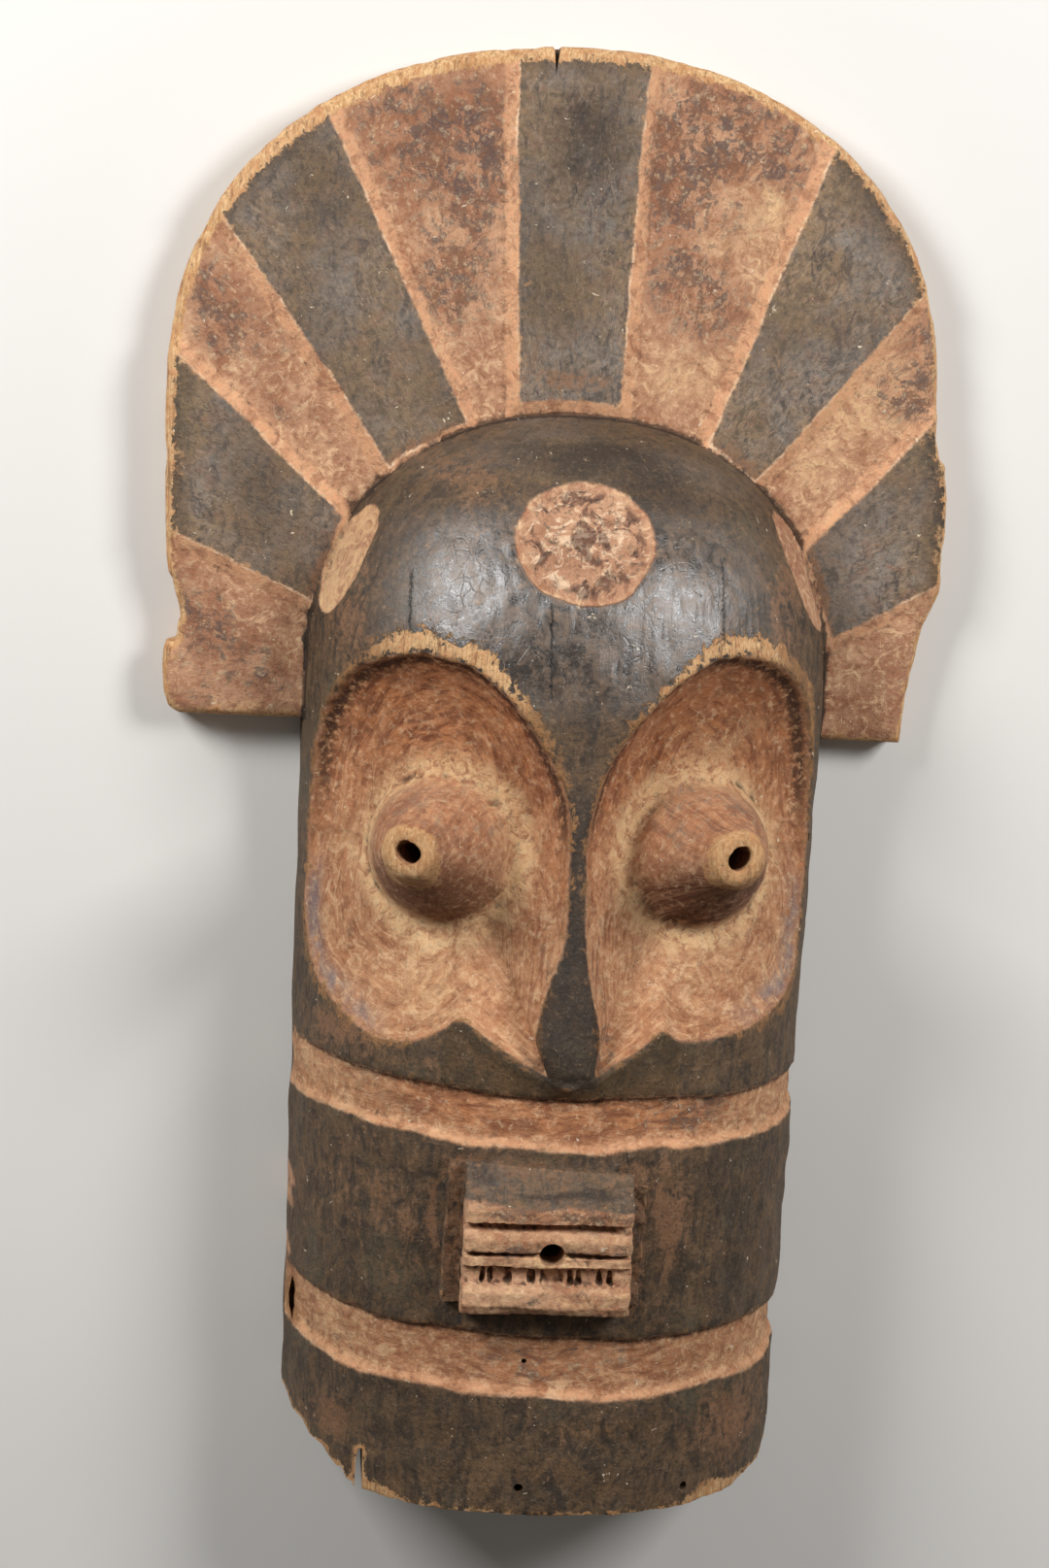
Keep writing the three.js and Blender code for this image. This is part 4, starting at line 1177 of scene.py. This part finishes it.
rubbed = rise(plus(field("brown"), swing(fine, 0.3), swing(streaks, 0.3)), 0.2, 0.9)
soot = coats(
    blend(rise(streaks, 0.36, 0.64), tone(56, 46, 37), tone(98, 76, 54)),
    (times(rise(middle, 0.46, 0.64), 0.55), tone(118, 90, 62)),
    (times(rise(coarse, 0.5, 0.64), 0.6), tone(92, 82, 62)),
    (times(field("dust"), rise(blots, 0.3, 0.62, 0.45, 0.95)),
     blend(rise(coarse, 0.42, 0.58), tone(132, 122, 112), tone(136, 112, 86))),
    (times(field("dust"), rise(other_blots, 0.5, 0.64), 0.55), tone(126, 92, 74)),
    (times(field("dust"), rise(streaks, 0.5, 0.38), 0.7), tone(64, 58, 56)),
    (times(field("dust"), rise(fine, 0.52, 0.4), 0.5), tone(72, 62, 56)),
    (times(field("dust"), rise(strokes, 0.5, 0.62), rise(middle, 0.6, 0.45, 0.2, 0.6)),
     tone(158, 134, 112)),
    (times(field("dust"), rise(blots, 0.46, 0.34), 0.55), tone(86, 76, 58)),
    (times(field("polish"), 0.85), blend(rise(blots, 0.42, 0.6), tone(50, 46, 44), tone(98, 78, 60))),
    (times(field("olive"), rise(fine, 0.3, 0.7, 0.6, 0.95)),
     blend(rise(middle, 0.4, 0.6), tone(68, 55, 36), tone(92, 68, 42))),
    (times(rubbed, 0.8), tone(136, 98, 70)),
    (times(rise(plus(field("dark"), swing(fine, 0.3)), 0.1, 0.9), 0.8), tone(44, 37, 32)),
    (times(rise(specks, 0.5, 0.64), rise(field("dust"), 0, 0.8, 0.55, 0.25)), tone(40, 33, 29)),
    (times(rise(fine, 0.54, 0.68), 0.4), tone(132, 110, 88)),
    (times(rise(strokes, 0.6, 0.74), 0.3), tone(150, 124, 98)),
)

raw = coats(
    blend(rise(streaks, 0.35, 0.7), tone(140, 102, 70), tone(96, 68, 48)),
    (rise(coarse, 0.4, 0.7), tone(104, 76, 56)),
    (times(rise(fibres, 0.55, 0.75), 0.5), tone(60, 42, 32)),
)

colour = coats(
    blend(painted, soot, earth),
    (times(arris, rise(coarse, 0.42, 0.58, 0.0, 0.7)), tone(236, 204, 170)),
    (bare, bare_wood),
    (worn, bare_wood),
    (times(crease_shade_and_dirt, 0.8), tone(44, 30, 22)),
    (times(rise(grain(3.2, detail=3, warp=1.0, shift=17), 0.7, 0.73), 0.8), tone(222, 204, 178)),
    (calc("MAXIMUM", field("inside"), rise(bench_z, 1.0, 0.4)), raw),
    (times(cracks, 0.9), tone(18, 14, 12)),
)

# How it takes the light: the black has a fine crackle and, on the dome, the shine of much
# handling. The ochre, the bare wood and the inside are dull.
cell_place = add("ShaderNodeMapping", {"Vector": millimetres, "Scale": (0.2, 0.14, 0.2)})
cells = add("ShaderNodeTexVoronoi", {"Vector": cell_place, "Scale": 1.0}, out="Distance",
            feature="DISTANCE_TO_EDGE")
crackle = times(rise(cells, 0.05, 0.0), rise(middle, 0.5, 0.62), calc("SUBTRACT", 1.0, painted))
shine = times(field("polish"), calc("SUBTRACT", 1.0, painted), calc("SUBTRACT", 1.0, bare))
rough = plus(rise(painted, 0, 1, 0.62, 0.88), times(shine, rise(blots, 0.34, 0.62, -0.4, -0.2)),
             swing(fine, 0.06))
unevenness = plus(times(fine, 0.7), times(strokes, 0.4), times(fibres, 0.2), times(specks, 0.35),
                  times(blots, 0.9))
hills = plus(times(unevenness, rise(shine, 0, 1, 1.0, 0.3)), times(crackle, -0.09), times(cracks, -0.8))
bump = add("ShaderNodeBump", {"Strength": 0.9, "Distance": 0.001, "Height": hills})
surface = add("ShaderNodeBsdfPrincipled", {"Base Color": colour, "Roughness": rough, "Normal": bump,
                                           "Specular IOR Level": rise(shine, 0, 1, 0.35, 1.0)})
add("ShaderNodeOutputMaterial", {"Surface": surface}, out=None)
mask.data.materials.clear()
mask.data.materials.append(wood)
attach(mask, "root")
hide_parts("mask")

# The table it lies on: a plain pale sheet, wide enough to fill the view.
bpy.ops.object.select_all(action="DESELECT")
bpy.ops.mesh.primitive_plane_add(size=8, location=(0, 0, 0))
floor = bpy.context.object
floor.name = "floor"
paper = bpy.data.materials.new("pale_paper")
paper.use_nodes = True
paper.node_tree.nodes["Principled BSDF"].inputs["Base Color"].default_value = tone(214, 212, 208)
paper.node_tree.nodes["Principled BSDF"].inputs["Roughness"].default_value = 0.9
floor.data.materials.append(paper)

# Two soft boxes, above to the left and to the right, each given by where it aims, where it is
# seen from there, its power and its size; a low even light from all round; and the camera,
# nearly straight above.
LIGHTS = [("soft_box_left", (-53, 71, 103), (-0.647, 0.505, 0.571), 19.0, 0.5),
          ("soft_box_right", (38, 66, 110), (0.595, 0.417, 0.687), 17.0, 0.48)]
LIGHT_AWAY = 1.35
for name, target, toward, power, size in LIGHTS:
    light = bpy.data.lights.new(name, "AREA")
    light.energy = power
    light.size = size
    lamp = bpy.data.objects.new(name, light)
    bpy.context.scene.collection.objects.link(lamp)
    toward = Vector(toward).normalized()
    lamp.location = Vector(to_row(np.array(target, float))) + toward * LIGHT_AWAY
    lamp.rotation_euler = toward.to_track_quat("Z", "Y").to_euler()
world = bpy.data.worlds.new("studio")
world.use_nodes = True
world.node_tree.nodes["Background"].inputs["Color"].default_value = (1.0, 0.96, 0.9, 1.0)
world.node_tree.nodes["Background"].inputs["Strength"].default_value = 0.13
bpy.context.scene.world = world
bpy.context.scene.view_settings.view_transform = "Standard"

camera = bpy.data.objects.new("camera", bpy.data.cameras.new("camera"))
bpy.context.scene.collection.objects.link(camera)
CAMERA_AT, CAMERA_TURNS = np.array([-144.7, 192.0, 1495.6]), ((-5.07, "Y"), (-8.38, "X"), (3.03, "Z"))
camera.data.lens = 74.5
camera.data.sensor_width = 36.0
turned = Matrix.Identity(4)
for degrees, axis in CAMERA_TURNS:
    turned = turned @ Matrix.Rotation(math.radians(degrees), 4, axis)
camera.matrix_world = Matrix.Translation(Vector(to_row(CAMERA_AT))) @ turned
bpy.context.scene.camera = camera
